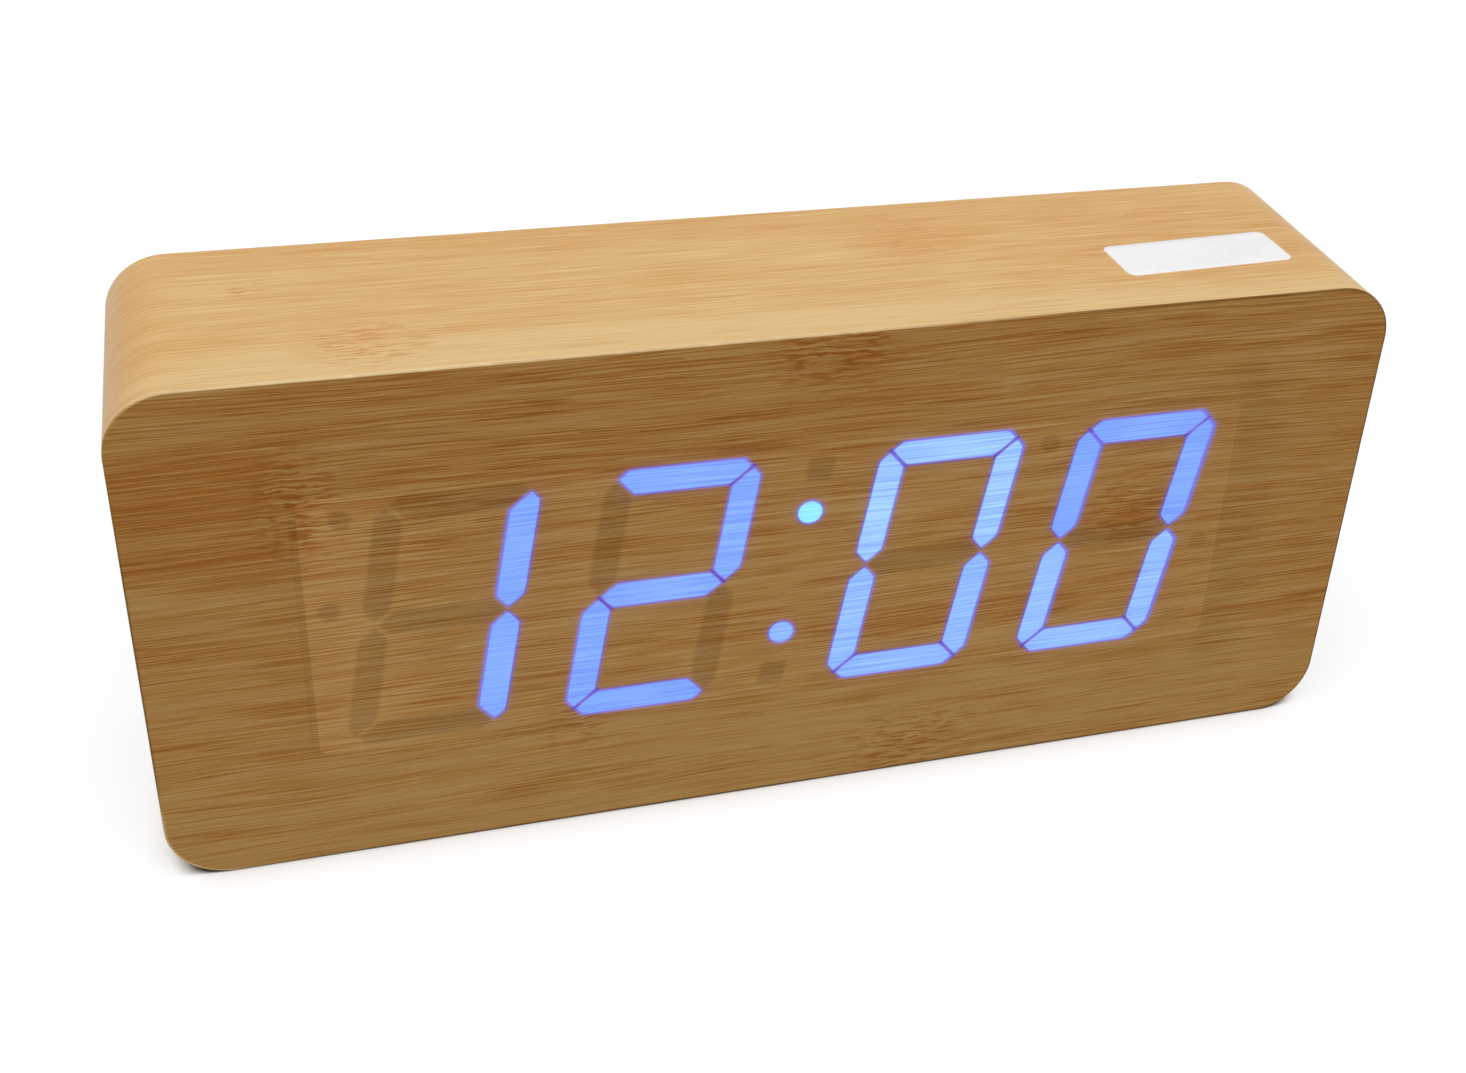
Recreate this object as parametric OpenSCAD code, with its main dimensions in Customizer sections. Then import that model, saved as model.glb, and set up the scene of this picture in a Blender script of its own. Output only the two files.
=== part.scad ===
// Digital alarm clock: a wood-film block with a seven-bar light display behind its front film.
// Millimetres. X runs to the right, Y to the back and Z up, from the centre of the base.

/* [Case] */
// Width of the case
case_w = 210; // [200:1:240]
// Height of the case
case_h = 91; // [84:0.5:110]
// Depth of the case, from the front film to the rear film
case_d = 46.5; // [42:0.5:60]
// Radius of the four long corners
corner_r = 10.2; // [6:0.1:14]
// Thickness of the core's front wall, which the display fills
front_wall_t = 6; // [5:0.25:9]
// Thickness of the wood-pattern film
film_t = 0.4; // [0.2:0.05:0.8]
// Room beside the display board in the core's cavity
cavity_side = 3.4; // [2:0.1:6]
// Room above and below the display board in the core's cavity
cavity_lip = 1.6; // [1.4:0.1:4]
// Radius of the cavity's corners
cavity_r = 4; // [2:0.5:6]
// Width of the butt seam in the wrapped film
seam_gap = 0.3; // [0.1:0.05:0.6]
// Distance of the seam from the rounded corner, on the underside
seam_inset = 10.8; // [4:0.2:30]

/* [Label] */
// Length of the plain label on the top
label_w = 32; // [20:0.5:36]
// Width of the label
label_l = 11.7; // [6:0.1:14]
// Thickness of the label
label_t = 0.15; // [0.1:0.01:0.3]
// Radius of the label's corners
label_r = 1.6; // [0.5:0.1:2.5]
// Distance of the label's middle from the right side
label_inset = 29.6; // [29:0.2:60]
// Distance of the label's middle from the front
label_back = 17.6; // [10:0.2:30]
// Turn of the label on the top, in degrees
label_turn = 2.6; // [-4:0.1:4]

/* [Display] */
// Hours, first digit shown
hour_tens = 1; // [0:1:2]
// Hours, second digit shown
hour_units = 2; // [0:1:9]
// Minutes, first digit shown
minute_tens = 0; // [0:1:5]
// Minutes, second digit shown
minute_units = 0; // [0:1:9]
// Height of a digit
digit_h = 47.6; // [42:0.2:50]
// Width of a digit, along its bars
digit_w = 25.7; // [22:0.1:28]
// Width of a light bar
stroke = 4.8; // [3.6:0.1:5.6]
// Lean of the digits, in degrees
slant = 9.5; // [0:0.5:12]
// Gap between neighbouring bars
bar_gap = 0.5; // [0.2:0.05:1]
// Cut across a digit's outer corners
corner_cut = 3.4; // [1.6:0.1:4.6]
// Gap between the two digits of a pair
digit_gap = 9.9; // [8:0.1:12]
// Gap between the two middle digits, where the colon is
colon_gap = 19.9; // [16:0.1:24]
// Diameter of a colon dot
colon_d = 4.6; // [3:0.1:5.4]
// Diameter of a small round mark
mark_d = 3.8; // [2:0.1:4.6]
// Side of a small square mark
mark_side = 4.8; // [3:0.1:5.4]
// Distance of the outer marks from the digits' top and bottom lines
mark_margin = 1.2; // [0.6:0.1:2]
// Distance of the inner marks above or below the middle
mark_drop = 3.5; // [0:0.1:6]
// Gap between the outermost digits and the marks beside them
mark_gap = 3; // [2.2:0.1:4]
// Room between the marks' column and the window's side
window_side = 3.1; // [2.9:0.1:5]
// Room between the digits and the window's top and bottom
window_lip = 0.6; // [0.4:0.1:1.5]
// Place of the display's middle along the width
display_x = -0.4; // [-3:0.1:3]
// Height of the display's middle above the case's
display_up = 0.7; // [-1.2:0.1:1.2]
// Depth of a light bar's clear resin
bar_depth = 3; // [1.5:0.25:4]
// Gap round the display in its window
window_gap = 0.2; // [0.1:0.05:0.4]
// Gap round a light bar in its well
well_gap = 0.05; // [0.02:0.01:0.1]
// Rim of the display board past the window
board_lip = 4.5; // [4.2:0.1:6]
// Diameter of the housing's pegs
peg_d = 2.4; // [1.6:0.1:2.8]
// Distance of the pegs from the housing's edges
peg_inset = 2; // [1.6:0.1:2.2]

/* [Boards] */
// Thickness of the circuit boards
board_t = 1.6; // [1:0.1:2]
// Width of the main board
main_w = 92; // [88:0.5:98]
// Height of the main board
main_h = 52; // [48:0.5:54]
// Place of the main board's middle along the width
main_x = -38; // [-40:0.5:-34]
// Distance of the board screws from the main board's edges
post_inset = 4; // [3.4:0.1:4.8]
// Diameter of the posts that carry the main board
post_d = 6.4; // [5:0.2:7]
// Room between the buzzer on the board and the cover
board_room = 1; // [0.5:0.1:2]
// Width of the flat cable
ribbon_w = 18; // [12:1:22]
// Thickness of the flat cable
ribbon_t = 0.9; // [0.6:0.1:1.2]
// Height of the cable's two headers
header_t = 6; // [4:0.5:7]
// Width of a header across the cable
header_l = 5; // [4:0.5:8]
// Length of a header past the cable's edges
header_end = 2; // [1:0.5:3]
// Place of the cable along the width, from the main board's middle
header_off = 4; // [0:0.5:12]
// Height of the upper header above the display's middle
header_up = 6; // [4:0.5:12]
// Depth of the lower header below the display's middle
header_down = 4; // [2:0.5:10]

/* [Rear cover] */
// Thickness of the cover
cover_t = 3; // [2.8:0.1:4]
// Depth of the cover below the rear film
cover_recess = 1.5; // [1.4:0.05:3]
// Width of the ledge that the cover rests on
ledge_w = 6; // [5.8:0.1:7]
// Radius of the cover's corners
cover_r = 3.5; // [2:0.5:4]
// Gap round the cover
cover_gap = 0.3; // [0.1:0.05:0.5]
// Thickness of the cover's locating rim
rim_t = 1.6; // [1:0.1:2]
// Height of the locating rim
rim_l = 3; // [1:0.25:6]

/* [Buttons] */
// Diameter of a button
button_d = 9; // [7:0.1:11]
// Gap round a button in its hole
button_gap = 0.2; // [0.1:0.05:0.3]
// Height of a button above the cover
button_proud = 1.1; // [0.9:0.05:1.2]
// Travel of a button
button_travel = 0.8; // [0.3:0.1:0.8]
// Radius of a button's domed top
button_dome = 24; // [16:1:60]
// Thickness of a button's skirt
skirt_t = 1.2; // [0.8:0.1:1.6]
// Width of the flange that keeps a button in
flange_w = 1.2; // [0.6:0.1:1.8]
// Thickness of that flange
flange_t = 1.2; // [0.6:0.1:1.8]
// Distance between the buttons
button_pitch = 18; // [16:0.5:20]
// Height of the buttons above the cover's middle
button_up = 13; // [11:0.5:16]
// Rim of the sunk tray round the buttons
tray_rim = 2.5; // [1:0.1:3]
// Depth of that tray
tray_depth = 0.5; // [0.2:0.1:0.8]
// Height of the signs on the buttons
sign_t = 0.2; // [0.1:0.05:0.2]
// Radius of the signs on the buttons
sign_r = 2.4; // [1.6:0.1:3]
// Side of a key switch
switch_side = 6; // [5:0.2:7]
// Height of a key switch's body
switch_t = 3.5; // [3:0.1:4]
// Diameter of a key switch's plunger
plunger_d = 3.5; // [2.4:0.1:4]
// Depth of the plunger in its switch at rest
plunger_in = 0.6; // [0.3:0.1:1]

/* [Batteries] */
// Diameter of a cell
cell_d = 10.4; // [9.6:0.1:11]
// Length of a cell, with its nub
cell_l = 44.5; // [42:0.1:46]
// Diameter of a cell's nub
nub_d = 3.8; // [3:0.1:4.5]
// Length of a cell's nub
nub_l = 0.9; // [0.6:0.1:1.4]
// Gap between neighbouring cells
cell_gap = 0.5; // [0.4:0.1:1]
// Gap under a cell in its trough
trough_gap = 0.15; // [0.1:0.05:0.2]
// Depth of the ribs between the troughs below the cells' middles
trough_lip = 2; // [1.5:0.1:3]
// Room for a contact spring
spring_l = 4.6; // [4:0.1:7]
// Diameter of a contact spring's wire
spring_wire = 0.6; // [0.4:0.05:0.7]
// Turns of a contact spring
spring_turns = 3; // [2:0.5:3]
// Radius of a contact spring at its plate
spring_base_r = 3.6; // [3:0.1:4]
// Radius of a contact spring at its cell
spring_tip_r = 2.4; // [1.6:0.1:3]
// Thickness of the contact plates
contact_t = 0.4; // [0.3:0.05:0.6]
// Width of the contact tabs
tab_w = 3; // [2:0.1:3.4]
// Reach of the contact tabs past the bay's wall
tab_out = 2; // [1:0.1:3]
// Diameter of the leads from the tabs
lead_d = 1.6; // [1:0.1:2]
// Distance of the leads' ends from the main board's edge
lead_inset = 3; // [2:0.1:4]
// Thickness of the battery bay's walls
bay_wall = 1.6; // [1.2:0.1:2]
// Room between the main board and the battery bay
bay_clear = 7.2; // [6:0.1:9]
// Width of the rim that the battery door rests on
door_rest = 2; // [1.6:0.1:2.6]
// Thickness of that rim below the cover
door_rest_t = 1; // [0.6:0.1:2]
// Thickness of the battery door
door_t = 2.2; // [1.8:0.1:2.4]
// Gap round the battery door
door_gap = 0.2; // [0.15:0.05:0.3]
// Diameter of the battery door's hinge pins
hinge_d = 1.4; // [1:0.1:1.5]
// Length of a hinge pin past the door's side
hinge_l = 1.4; // [0.8:0.1:2]
// Running gap round a hinge pin
hinge_gap = 0.08; // [0.04:0.01:0.1]
// Width of the battery door's spring tongue
tongue_w = 12; // [8:0.5:20]
// Length of that tongue
tongue_l = 9; // [6:0.5:14]
// Width of the slots beside the tongue
tongue_slot = 1; // [0.6:0.1:1.6]
// Length of the tongue's nose past the door's edge
nose_l = 0.9; // [0.4:0.1:1.4]
// Depth of the finger scoop in the tongue
scoop_t = 0.8; // [0.4:0.1:1]

/* [Power socket] */
// Diameter of the socket's bore
socket_d = 5.6; // [4:0.1:6]
// Depth of the socket's bore
socket_depth = 9; // [6:0.5:9.5]
// Diameter of the socket's pin
pin_d = 2; // [1:0.1:2.4]
// Side of the socket's body
socket_side = 9; // [8.6:0.1:10]
// Wall of the socket's round nose
socket_wall = 1.2; // [0.8:0.1:1.4]
// Place of the socket along the width, from the main board's middle
socket_off = -32; // [-36:0.5:-28]
// Depth of the socket below the cover's middle
socket_down = 10; // [8:0.5:12]

/* [Sound] */
// Diameter of the buzzer
buzzer_d = 12; // [9:0.5:14]
// Height of the buzzer
buzzer_t = 8.5; // [7.5:0.1:10]
// Place of the buzzer along the width, from the main board's middle
buzzer_off = -8; // [-12:0.5:-4]
// Depth of the buzzer below the cover's middle
buzzer_down = 12; // [10:0.5:14]
// Diameter of a sound hole
sound_d = 1.8; // [1:0.1:2.4]
// Radius of the ring of sound holes
sound_ring = 3.4; // [2.8:0.1:4.6]
// Diameter of the microphone
mic_d = 6; // [4:0.5:8]
// Length of the microphone
mic_l = 4.8; // [3:0.2:6]
// Place of the microphone along the width, from the main board's middle
mic_off = 18; // [12:0.5:20]

/* [Small parts] */
// Diameter of the thermistor's bead
thermistor_d = 2.8; // [1.6:0.1:3.4]
// Length of the thermistor's legs
thermistor_l = 3; // [2:0.1:4]
// Place of the thermistor along the width, from the main board's middle
thermistor_off = 30; // [28:0.5:32]
// Width of the air slots over the thermistor
slot_w = 1.2; // [0.8:0.1:1.6]
// Length of the air slots
slot_l = 8; // [5:0.5:12]
// Distance between the air slots
slot_pitch = 3; // [2.4:0.1:4]
// Diameter of the legs of the microphone and the thermistor
leg_d = 0.6; // [0.4:0.1:0.8]
// Length of the clock chip
chip_w = 18; // [12:0.5:20]
// Width of the clock chip
chip_h = 7.5; // [5:0.5:10]
// Thickness of the clock chip
chip_t = 2.2; // [1.4:0.1:3]
// Distance of the clock chip's middle from the main board's left side
chip_in = 20; // [16:0.5:24]
// Legs on each side of the clock chip
chip_legs = 14; // [8:1:16]
// Reach of the clock chip's legs
chip_leg_l = 1.2; // [0.6:0.1:1.6]
// Diameter of the crystal
crystal_d = 2; // [1.4:0.1:3]
// Length of the crystal
crystal_l = 6; // [4:0.5:8]
// Distance of the crystal below the clock chip's middle
crystal_down = 10; // [8:0.5:12]
// Diameter of the capacitor
capacitor_d = 5; // [4:0.5:8]
// Height of the capacitor
capacitor_l = 7; // [5:0.5:9]
// Distance of the capacitor from the main board's right side
capacitor_in = 16; // [10:0.5:18]
// Distance of the capacitor below the main board's middle
capacitor_down = 8; // [4:0.5:12]
// Length of a chip resistor
resistor_l = 3.2; // [2:0.1:4]
// Distance between the chip resistors
resistor_pitch = 4; // [3:0.1:5]
// Distance of the resistors' middle from the main board's left side
resistor_in = 26; // [22:0.5:28]
// Height of the resistors above the main board's middle
resistor_up = 14; // [10:0.5:17]
// Width of a lamp chip
led_w = 1.6; // [1:0.1:2]
// Height of a lamp chip
led_t = 0.8; // [0.5:0.1:1.2]

/* [Fasteners] */
// Shank diameter of the cover screws
cover_screw_d = 2.8; // [2:0.1:3]
// Head diameter of the cover screws
cover_head_d = 4.6; // [3.6:0.1:4.8]
// Length of the cover screws under the head
cover_screw_l = 12; // [6:0.5:16]
// Shank diameter of the board screws
board_screw_d = 2; // [1.4:0.1:2.4]
// Head diameter of the board screws
board_head_d = 3.8; // [3:0.1:4.2]
// Length of the board screws under the head
board_screw_l = 5.5; // [4:0.1:6]
// Thickness of a screw's head
head_t = 1.3; // [0.8:0.1:1.5]

/* [Hidden] */
$fn = 64;
past = 1;           // reach of a cutter past a face
seat_gap = 0.1;     // gap between pieces that rest against each other
fit_gap = 0.05;     // gap round a screw, a peg or a plunger

// Display outline and its pieces
lean = tan(slant);
digit_pitch = digit_w + digit_gap;
colon_span = digit_w + colon_gap;
colon_rise = digit_h / 4;
DIGIT_PLACES = [-colon_span / 2 - digit_pitch, -colon_span / 2, colon_span / 2, colon_span / 2 + digit_pitch];
SHOWN = [hour_tens, hour_units, minute_tens, minute_units];
BARS = ["a", "b", "c", "d", "e", "f", "g"];
BARS_OF = ["abcdef", "bc", "abged", "abgcd", "fgbc", "afgcd", "afgedc", "abc", "abcdefg", "abcdfg"];
mark_rise = digit_h / 2 - mark_margin - mark_side / 2;
mark_column = DIGIT_PLACES[3] + digit_w / 2 + mark_gap + mark_d / 2;
ROUND_MARKS = [
    [-mark_column, mark_rise], [-mark_column, mark_drop],
    [(DIGIT_PLACES[2] + DIGIT_PLACES[3]) / 2, mark_rise], [mark_column, -mark_drop]
];
SQUARE_MARKS = [[0, mark_rise], [0, -mark_rise], [mark_column, -mark_rise]];
window_w = 2 * (mark_column + window_side);
window_h = digit_h + 2 * window_lip;
window_r = 1;
housing_w = window_w - 2 * window_gap;
housing_h = window_h - 2 * window_gap;
display_board_w = window_w + 2 * board_lip;
display_board_h = window_h + 2 * board_lip;
board_corner_r = 1.5;
peg_head = 0.6;
display_bite = board_screw_l - board_t;

// Case, cavity and cover outlines
mid_z = case_h / 2;
display_z = mid_z + display_up;
cavity_w = display_board_w + 2 * cavity_side;
cavity_h = display_board_h + 2 * cavity_lip;
rebate_w = cavity_w + 2 * ledge_w;
rebate_h = cavity_h + 2 * ledge_w;
rebate_r = cover_r + cover_gap;
cover_w = rebate_w - 2 * cover_gap;
cover_h = rebate_h - 2 * cover_gap;

// Levels from the front to the back
front_y = -case_d / 2;
rear_y = case_d / 2;
film_back = front_y + film_t;
window_back = film_back + front_wall_t;
display_back = window_back + board_t;
core_back = rear_y - film_t;
cover_out = rear_y - cover_recess;
cover_in = cover_out - cover_t;
post_l = buzzer_t + board_room;
main_rear = cover_in - post_l;
main_front = main_rear - board_t;

// Flat cable: two equal bends, the second turned back
header_x = main_x + header_off;
display_header_z = display_z + header_up;
main_header_z = display_z - header_down;
ribbon_from = display_back + header_t;
ribbon_to = main_front - header_t;
ribbon_bend = 2 * atan((header_up + header_down) / (ribbon_to - ribbon_from));
ribbon_r = (ribbon_to - ribbon_from) / (2 * sin(ribbon_bend));

// Places on the main board
button_z = mid_z + button_up;
BUTTON_PLACES = [for (i = [1, 0, -1]) [main_x + i * button_pitch, button_z]];
socket_place = [main_x + socket_off, mid_z - socket_down];
buzzer_place = [main_x + buzzer_off, mid_z - buzzer_down];
mic_place = [main_x + mic_off, mid_z - buzzer_down];
thermistor_place = [main_x + thermistor_off, mid_z - buzzer_down];
chip_place = [main_x - main_w / 2 + chip_in, mid_z];
crystal_place = chip_place - [0, crystal_down];
capacitor_place = [main_x + main_w / 2 - capacitor_in, mid_z - capacitor_down];
resistor_place = [main_x - main_w / 2 + resistor_in, mid_z + resistor_up];
resistor_count = 8;

// Buttons and key switches
button_top = cover_out + button_proud;
flange_y = cover_in - seat_gap;
stem_y = flange_y - flange_t;
stem_wall = 0.4;
skirt_r = button_d / 2 - skirt_t;
switch_top = main_rear + switch_t;
plunger_room = 0.4;
plunger_bore = plunger_in + button_travel + plunger_room;
ring_wall = 0.6;

// Power socket
socket_lip = 0.2;
socket_gap = 0.2;
socket_end = cover_out - socket_lip;
socket_nose_d = socket_d + 2 * socket_wall;

// Battery bay, its door and its contacts
cell_pitch = cell_d + cell_gap;
trough_r = cell_d / 2 + trough_gap;
door_in = cover_out - door_t;
bay_rim = door_in - door_gap;
cell_y = bay_rim - 2 * door_gap - cell_d / 2;
bay_front = cell_y - trough_r - bay_wall;
bay_l = cell_l + spring_l + 2 * contact_t + 2 * seat_gap;
bay_h = 4 * cell_pitch;
bay_left = main_x + main_w / 2 + bay_clear + bay_wall;
bay_right = bay_left + bay_l;
bay_x = (bay_left + bay_right) / 2;
opening_w = bay_l + 2 * door_rest;
opening_h = bay_h + 2 * door_rest;
opening_bottom = mid_z - opening_h / 2;
door_w = opening_w - 2 * door_gap;
door_bottom = opening_bottom + door_gap;
hinge_y = cover_out - door_t / 2;
hinge_z = mid_z + opening_h / 2 - door_gap - door_t / 2;
nose_in = door_t / 3;
grip_l = 0.8;
grip_t = 0.3;
grip_pitch = 2;
CELL_ROWS = [for (i = [0:3]) mid_z + (1.5 - i) * cell_pitch];
plate_from = cell_y - trough_lip + seat_gap;
plate_to = cell_y + cell_d / 2 - 1;
plate_end = cell_d / 2 - 1;
tab_end = bay_left - bay_wall - tab_out;
lead_x = main_x + main_w / 2 - lead_inset;
lead_bend = (cell_y - main_rear) / 2;

// Contact springs: a cone-shaped coil of six-sided wire
SPRING_SIDES = 6;
SPRING_RINGS = 8;
spring_rise = spring_l - spring_wire - 2 * seat_gap;
spring_steps = ceil(spring_turns * SPRING_RINGS);

// Screw places
POSTS = [for (sx = [-1, 1], sz = [-1, 1])
    [main_x + sx * (main_w / 2 - post_inset), mid_z + sz * (main_h / 2 - post_inset)]];
COVER_SCREWS = [for (x = [-1, 0, 1], sz = [-1, 1])
    [x * (cover_w - ledge_w) / 2, mid_z + sz * (cover_h - ledge_w) / 2]];
DISPLAY_SCREWS = [for (sx = [-1, 1], sz = [-1, 1])
    [display_x + sx * (window_w + board_lip) / 2, display_z + sz * (window_h + board_lip) / 2]];
PEGS = [for (sx = [-1, 1], sz = [-1, 1])
    [display_x + sx * (housing_w / 2 - peg_inset), display_z + sz * (housing_h / 2 - peg_inset)]];
head_gap = 0.2;

// Shared shapes. Drawings stand upright: their x is the case's X and their y its Z

// A drawing made solid between two levels
module slab(y0, y1) translate([0, y1, 0]) rotate([90, 0, 0]) linear_extrude(y1 - y0) children();

module rounded_rect(w, h, r) {
    square([w - 2 * r, h], center = true);
    square([w, h - 2 * r], center = true);
    for (sx = [-1, 1], sy = [-1, 1])
        translate([sx * (w / 2 - r), sy * (h / 2 - r)]) circle(r);
}

// A bar with round ends, its length taken between the ends' middles
module stadium(l, d) {
    square([l, d], center = true);
    for (s = [-1, 1]) translate([s * l / 2, 0]) circle(d = d);
}

// A plate's outline about the case's middle
module panel(w, h, r) translate([0, mid_z]) rounded_rect(w, h, r);

module discs(places, d) for (p = places) translate(p) circle(d = d);

// Cross-headed screws with their heads' undersides at one level, pointing back (turn 1) or forward (turn -1)
module screws(places, seat_y, turn, d, head_d, length) {
    cross_w = d / 4;
    cross_l = head_d * 0.6;
    tip_y = seat_y + turn * length;
    top_y = seat_y - turn * head_t;
    cross_y = top_y + turn * head_t / 2;
    clear_y = top_y - turn * past;
    for (p = places) difference() {
        union() {
            slab(min(seat_y, tip_y), max(seat_y, tip_y)) translate(p) circle(d = d);
            slab(min(seat_y, top_y), max(seat_y, top_y)) translate(p) circle(d = head_d);
        }
        for (size = [[cross_l, cross_w], [cross_w, cross_l]])
            slab(min(cross_y, clear_y), max(cross_y, clear_y)) translate(p) square(size, center = true);
    }
}

// Case

module case_core() color("peru") difference() {
    slab(film_back, core_back) panel(case_w - 2 * film_t, case_h - 2 * film_t, corner_r - film_t);
    slab(window_back, core_back + past) panel(cavity_w, cavity_h, cavity_r);
    slab(cover_in, core_back + past) panel(rebate_w, rebate_h, rebate_r);
    slab(film_back - past, window_back + past) on_display() rounded_rect(window_w, window_h, window_r);
    slab(cover_out - head_t - cover_screw_l - seat_gap, cover_in + past)
        discs(COVER_SCREWS, cover_screw_d + 2 * fit_gap);
    slab(window_back - display_bite - seat_gap, window_back + past)
        discs(DISPLAY_SCREWS, board_screw_d + 2 * fit_gap);
}

module wrap_film() color("burlywood") slab(film_back, core_back) difference() {
    panel(case_w, case_h, corner_r);
    panel(case_w - 2 * film_t, case_h - 2 * film_t, corner_r - film_t);
    translate([corner_r + seam_inset - case_w / 2, film_t / 2])
        square([seam_gap, film_t + 2 * past], center = true);
}

module front_film() color("tan", 0.8) slab(front_y, film_back) panel(case_w, case_h, corner_r);

module rear_film() color("burlywood") slab(core_back, rear_y) difference() {
    panel(case_w, case_h, corner_r);
    panel(rebate_w, rebate_h, rebate_r);
}

module top_label() color("white")
    translate([case_w / 2 - label_inset, front_y + label_back, case_h]) rotate(label_turn)
        linear_extrude(label_t) rounded_rect(label_w, label_l, label_r);

// Display

function flip(points, su, sv) = [for (p = points) [p[0] * su, p[1] * sv]];

// A point of a digit's drawing, leaned over
function leaned(p) = [p[0] + p[1] * lean, p[1]];

// Outline of one of a digit's seven bars about the digit's middle, drawn in by shrink on every side.
// The bars meet in 45 degree mitres, a gap apart, and the digit's outer corners are cut across.
function bar_outline(bar, shrink) =
    let (hw = digit_w / 2 - shrink,
         hh = digit_h / 2 - shrink,
         t = stroke - 2 * shrink,
         k = bar_gap / sqrt(2) + shrink * sqrt(2),
         c = corner_cut + shrink * (sqrt(2) - 2),
         long = (c + k) / 2,
         short = (c - k) / 2,
         flat = [[long - hw, hh - short], [c - hw, hh], [hw - c, hh], [hw - long, hh - short],
                 [hw - t - k, hh - t], [t + k - hw, hh - t]],
         upright = [[short - hw, hh - long], [-hw, hh - c], [-hw, k + t / 2], [t / 2 - hw, k],
                    [t - hw, k + t / 2], [t - hw, hh - t - k]],
         middle = [[t / 2 + k - hw, 0], [t + k - hw, t / 2], [hw - t - k, t / 2],
                   [hw - t / 2 - k, 0], [hw - t - k, -t / 2], [t + k - hw, -t / 2]])
    bar == "a" ? flat :
    bar == "b" ? flip(upright, -1, 1) :
    bar == "c" ? flip(upright, -1, -1) :
    bar == "d" ? flip(flat, 1, -1) :
    bar == "e" ? flip(upright, 1, -1) :
    bar == "f" ? upright : middle;

function is_lit(digit, bar) = len(search(bar, BARS_OF[digit])) > 0;

// The two lamps of a bar about the digit's middle
function bar_lamps(bar) =
    let (side = (digit_w - stroke) / 2,
         end = (digit_h - stroke) / 2,
         u = bar == "b" || bar == "c" ? side : bar == "e" || bar == "f" ? -side : 0,
         v = bar == "a" ? end : bar == "d" ? -end : bar == "b" || bar == "f" ? end / 2 :
             bar == "c" || bar == "e" ? -end / 2 : 0,
         along = u == 0 ? [digit_w / 6, 0] : [0, digit_h / 12])
    [[u, v] + along, [u, v] - along];

// A drawing placed at the display's middle
module on_display() translate([display_x, display_z]) children();

// The bars that the shown time lights, or the rest
module bars(shrink, lit) on_display()
    for (d = [0:3], bar = BARS)
        if (is_lit(SHOWN[d], bar) == lit)
            translate([DIGIT_PLACES[d], 0])
                polygon([for (p = bar_outline(bar, shrink)) leaned(p)]);

module colon(shrink) on_display()
    for (s = [-1, 1]) translate(leaned([0, s * colon_rise])) circle(d = colon_d - 2 * shrink);

module marks(shrink) on_display() {
    half = mark_side / 2 - shrink;
    for (p = ROUND_MARKS) translate(leaned(p)) circle(d = mark_d - 2 * shrink);
    for (p = SQUARE_MARKS) translate(leaned(p))
        polygon([for (c = [[-1, -1], [1, -1], [1, 1], [-1, 1]]) leaned(c * half)]);
}

module display_housing() color("whitesmoke") {
    slab(film_back, window_back) difference() {
        on_display() rounded_rect(housing_w, housing_h, window_r);
        bars(0, true);
        bars(0, false);
        colon(0);
        marks(0);
    }
    slab(window_back, display_back + peg_head) discs(PEGS, peg_d);
}

module lit_bars() color("cornflowerblue") slab(film_back, film_back + bar_depth) bars(well_gap, true);

module unlit_bars() color("dimgray") slab(film_back, film_back + bar_depth) bars(well_gap, false);

module colon_dots() color("lightcyan") slab(film_back, film_back + bar_depth) colon(well_gap);

module indicator_marks() color("dimgray") slab(film_back, film_back + bar_depth) marks(well_gap);

module display_board() color("darkgreen") slab(window_back, display_back) difference() {
    on_display() rounded_rect(display_board_w, display_board_h, board_corner_r);
    discs(PEGS, peg_d + 2 * fit_gap);
    discs(DISPLAY_SCREWS, board_screw_d + 2 * fit_gap);
}

module segment_leds() color("ivory") slab(window_back - led_t, window_back) on_display() {
    for (d = [0:3], bar = BARS, lamp = bar_lamps(bar))
        translate([DIGIT_PLACES[d], 0] + leaned(lamp)) square([led_w, led_w / 2], center = true);
    for (p = concat(ROUND_MARKS, SQUARE_MARKS, [[0, colon_rise], [0, -colon_rise]]))
        translate(leaned(p)) square([led_w, led_w / 2], center = true);
}

// Flat cable and its headers

module header(z) translate([header_x, z]) square([ribbon_w + 2 * header_end, header_l], center = true);

module display_header() color("linen") slab(display_back, ribbon_from) header(display_header_z);

module main_header() color("linen") slab(ribbon_to, main_front) header(main_header_z);

// One bend of the cable about an axis along X
module ribbon_arc(y, z, from) translate([header_x, y, z]) rotate([90, 0, 90]) rotate([0, 0, from])
    rotate_extrude(angle = ribbon_bend) translate([ribbon_r, 0]) square([ribbon_t, ribbon_w], center = true);

module ribbon_cable() color("lightgray") {
    ribbon_arc(ribbon_from, display_header_z - ribbon_r, 90 - ribbon_bend);
    ribbon_arc(ribbon_to, main_header_z + ribbon_r, 270 - ribbon_bend);
}

// Main board and what it carries

module main_board() color("darkgreen") slab(main_front, main_rear) difference() {
    translate([main_x, mid_z]) rounded_rect(main_w, main_h, board_corner_r);
    discs(POSTS, board_screw_d + 2 * fit_gap);
}

module clock_chip() color("black") {
    leg_pitch = chip_w / chip_legs;
    slab(main_front - chip_t, main_front) translate(chip_place) square([chip_w, chip_h], center = true);
    slab(main_front - chip_t / 2, main_front)
        for (i = [0:chip_legs - 1])
            translate(chip_place + [(i - (chip_legs - 1) / 2) * leg_pitch, 0])
                square([leg_pitch / 3, chip_h + 2 * chip_leg_l], center = true);
}

module crystal() color("silver")
    translate([crystal_place[0] - crystal_l / 2, main_front - crystal_d / 2, crystal_place[1]])
        rotate([0, 90, 0]) cylinder(d = crystal_d, h = crystal_l);

module capacitor() color("darkslateblue") slab(main_front - capacitor_l, main_front)
    translate(capacitor_place) circle(d = capacitor_d);

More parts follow.
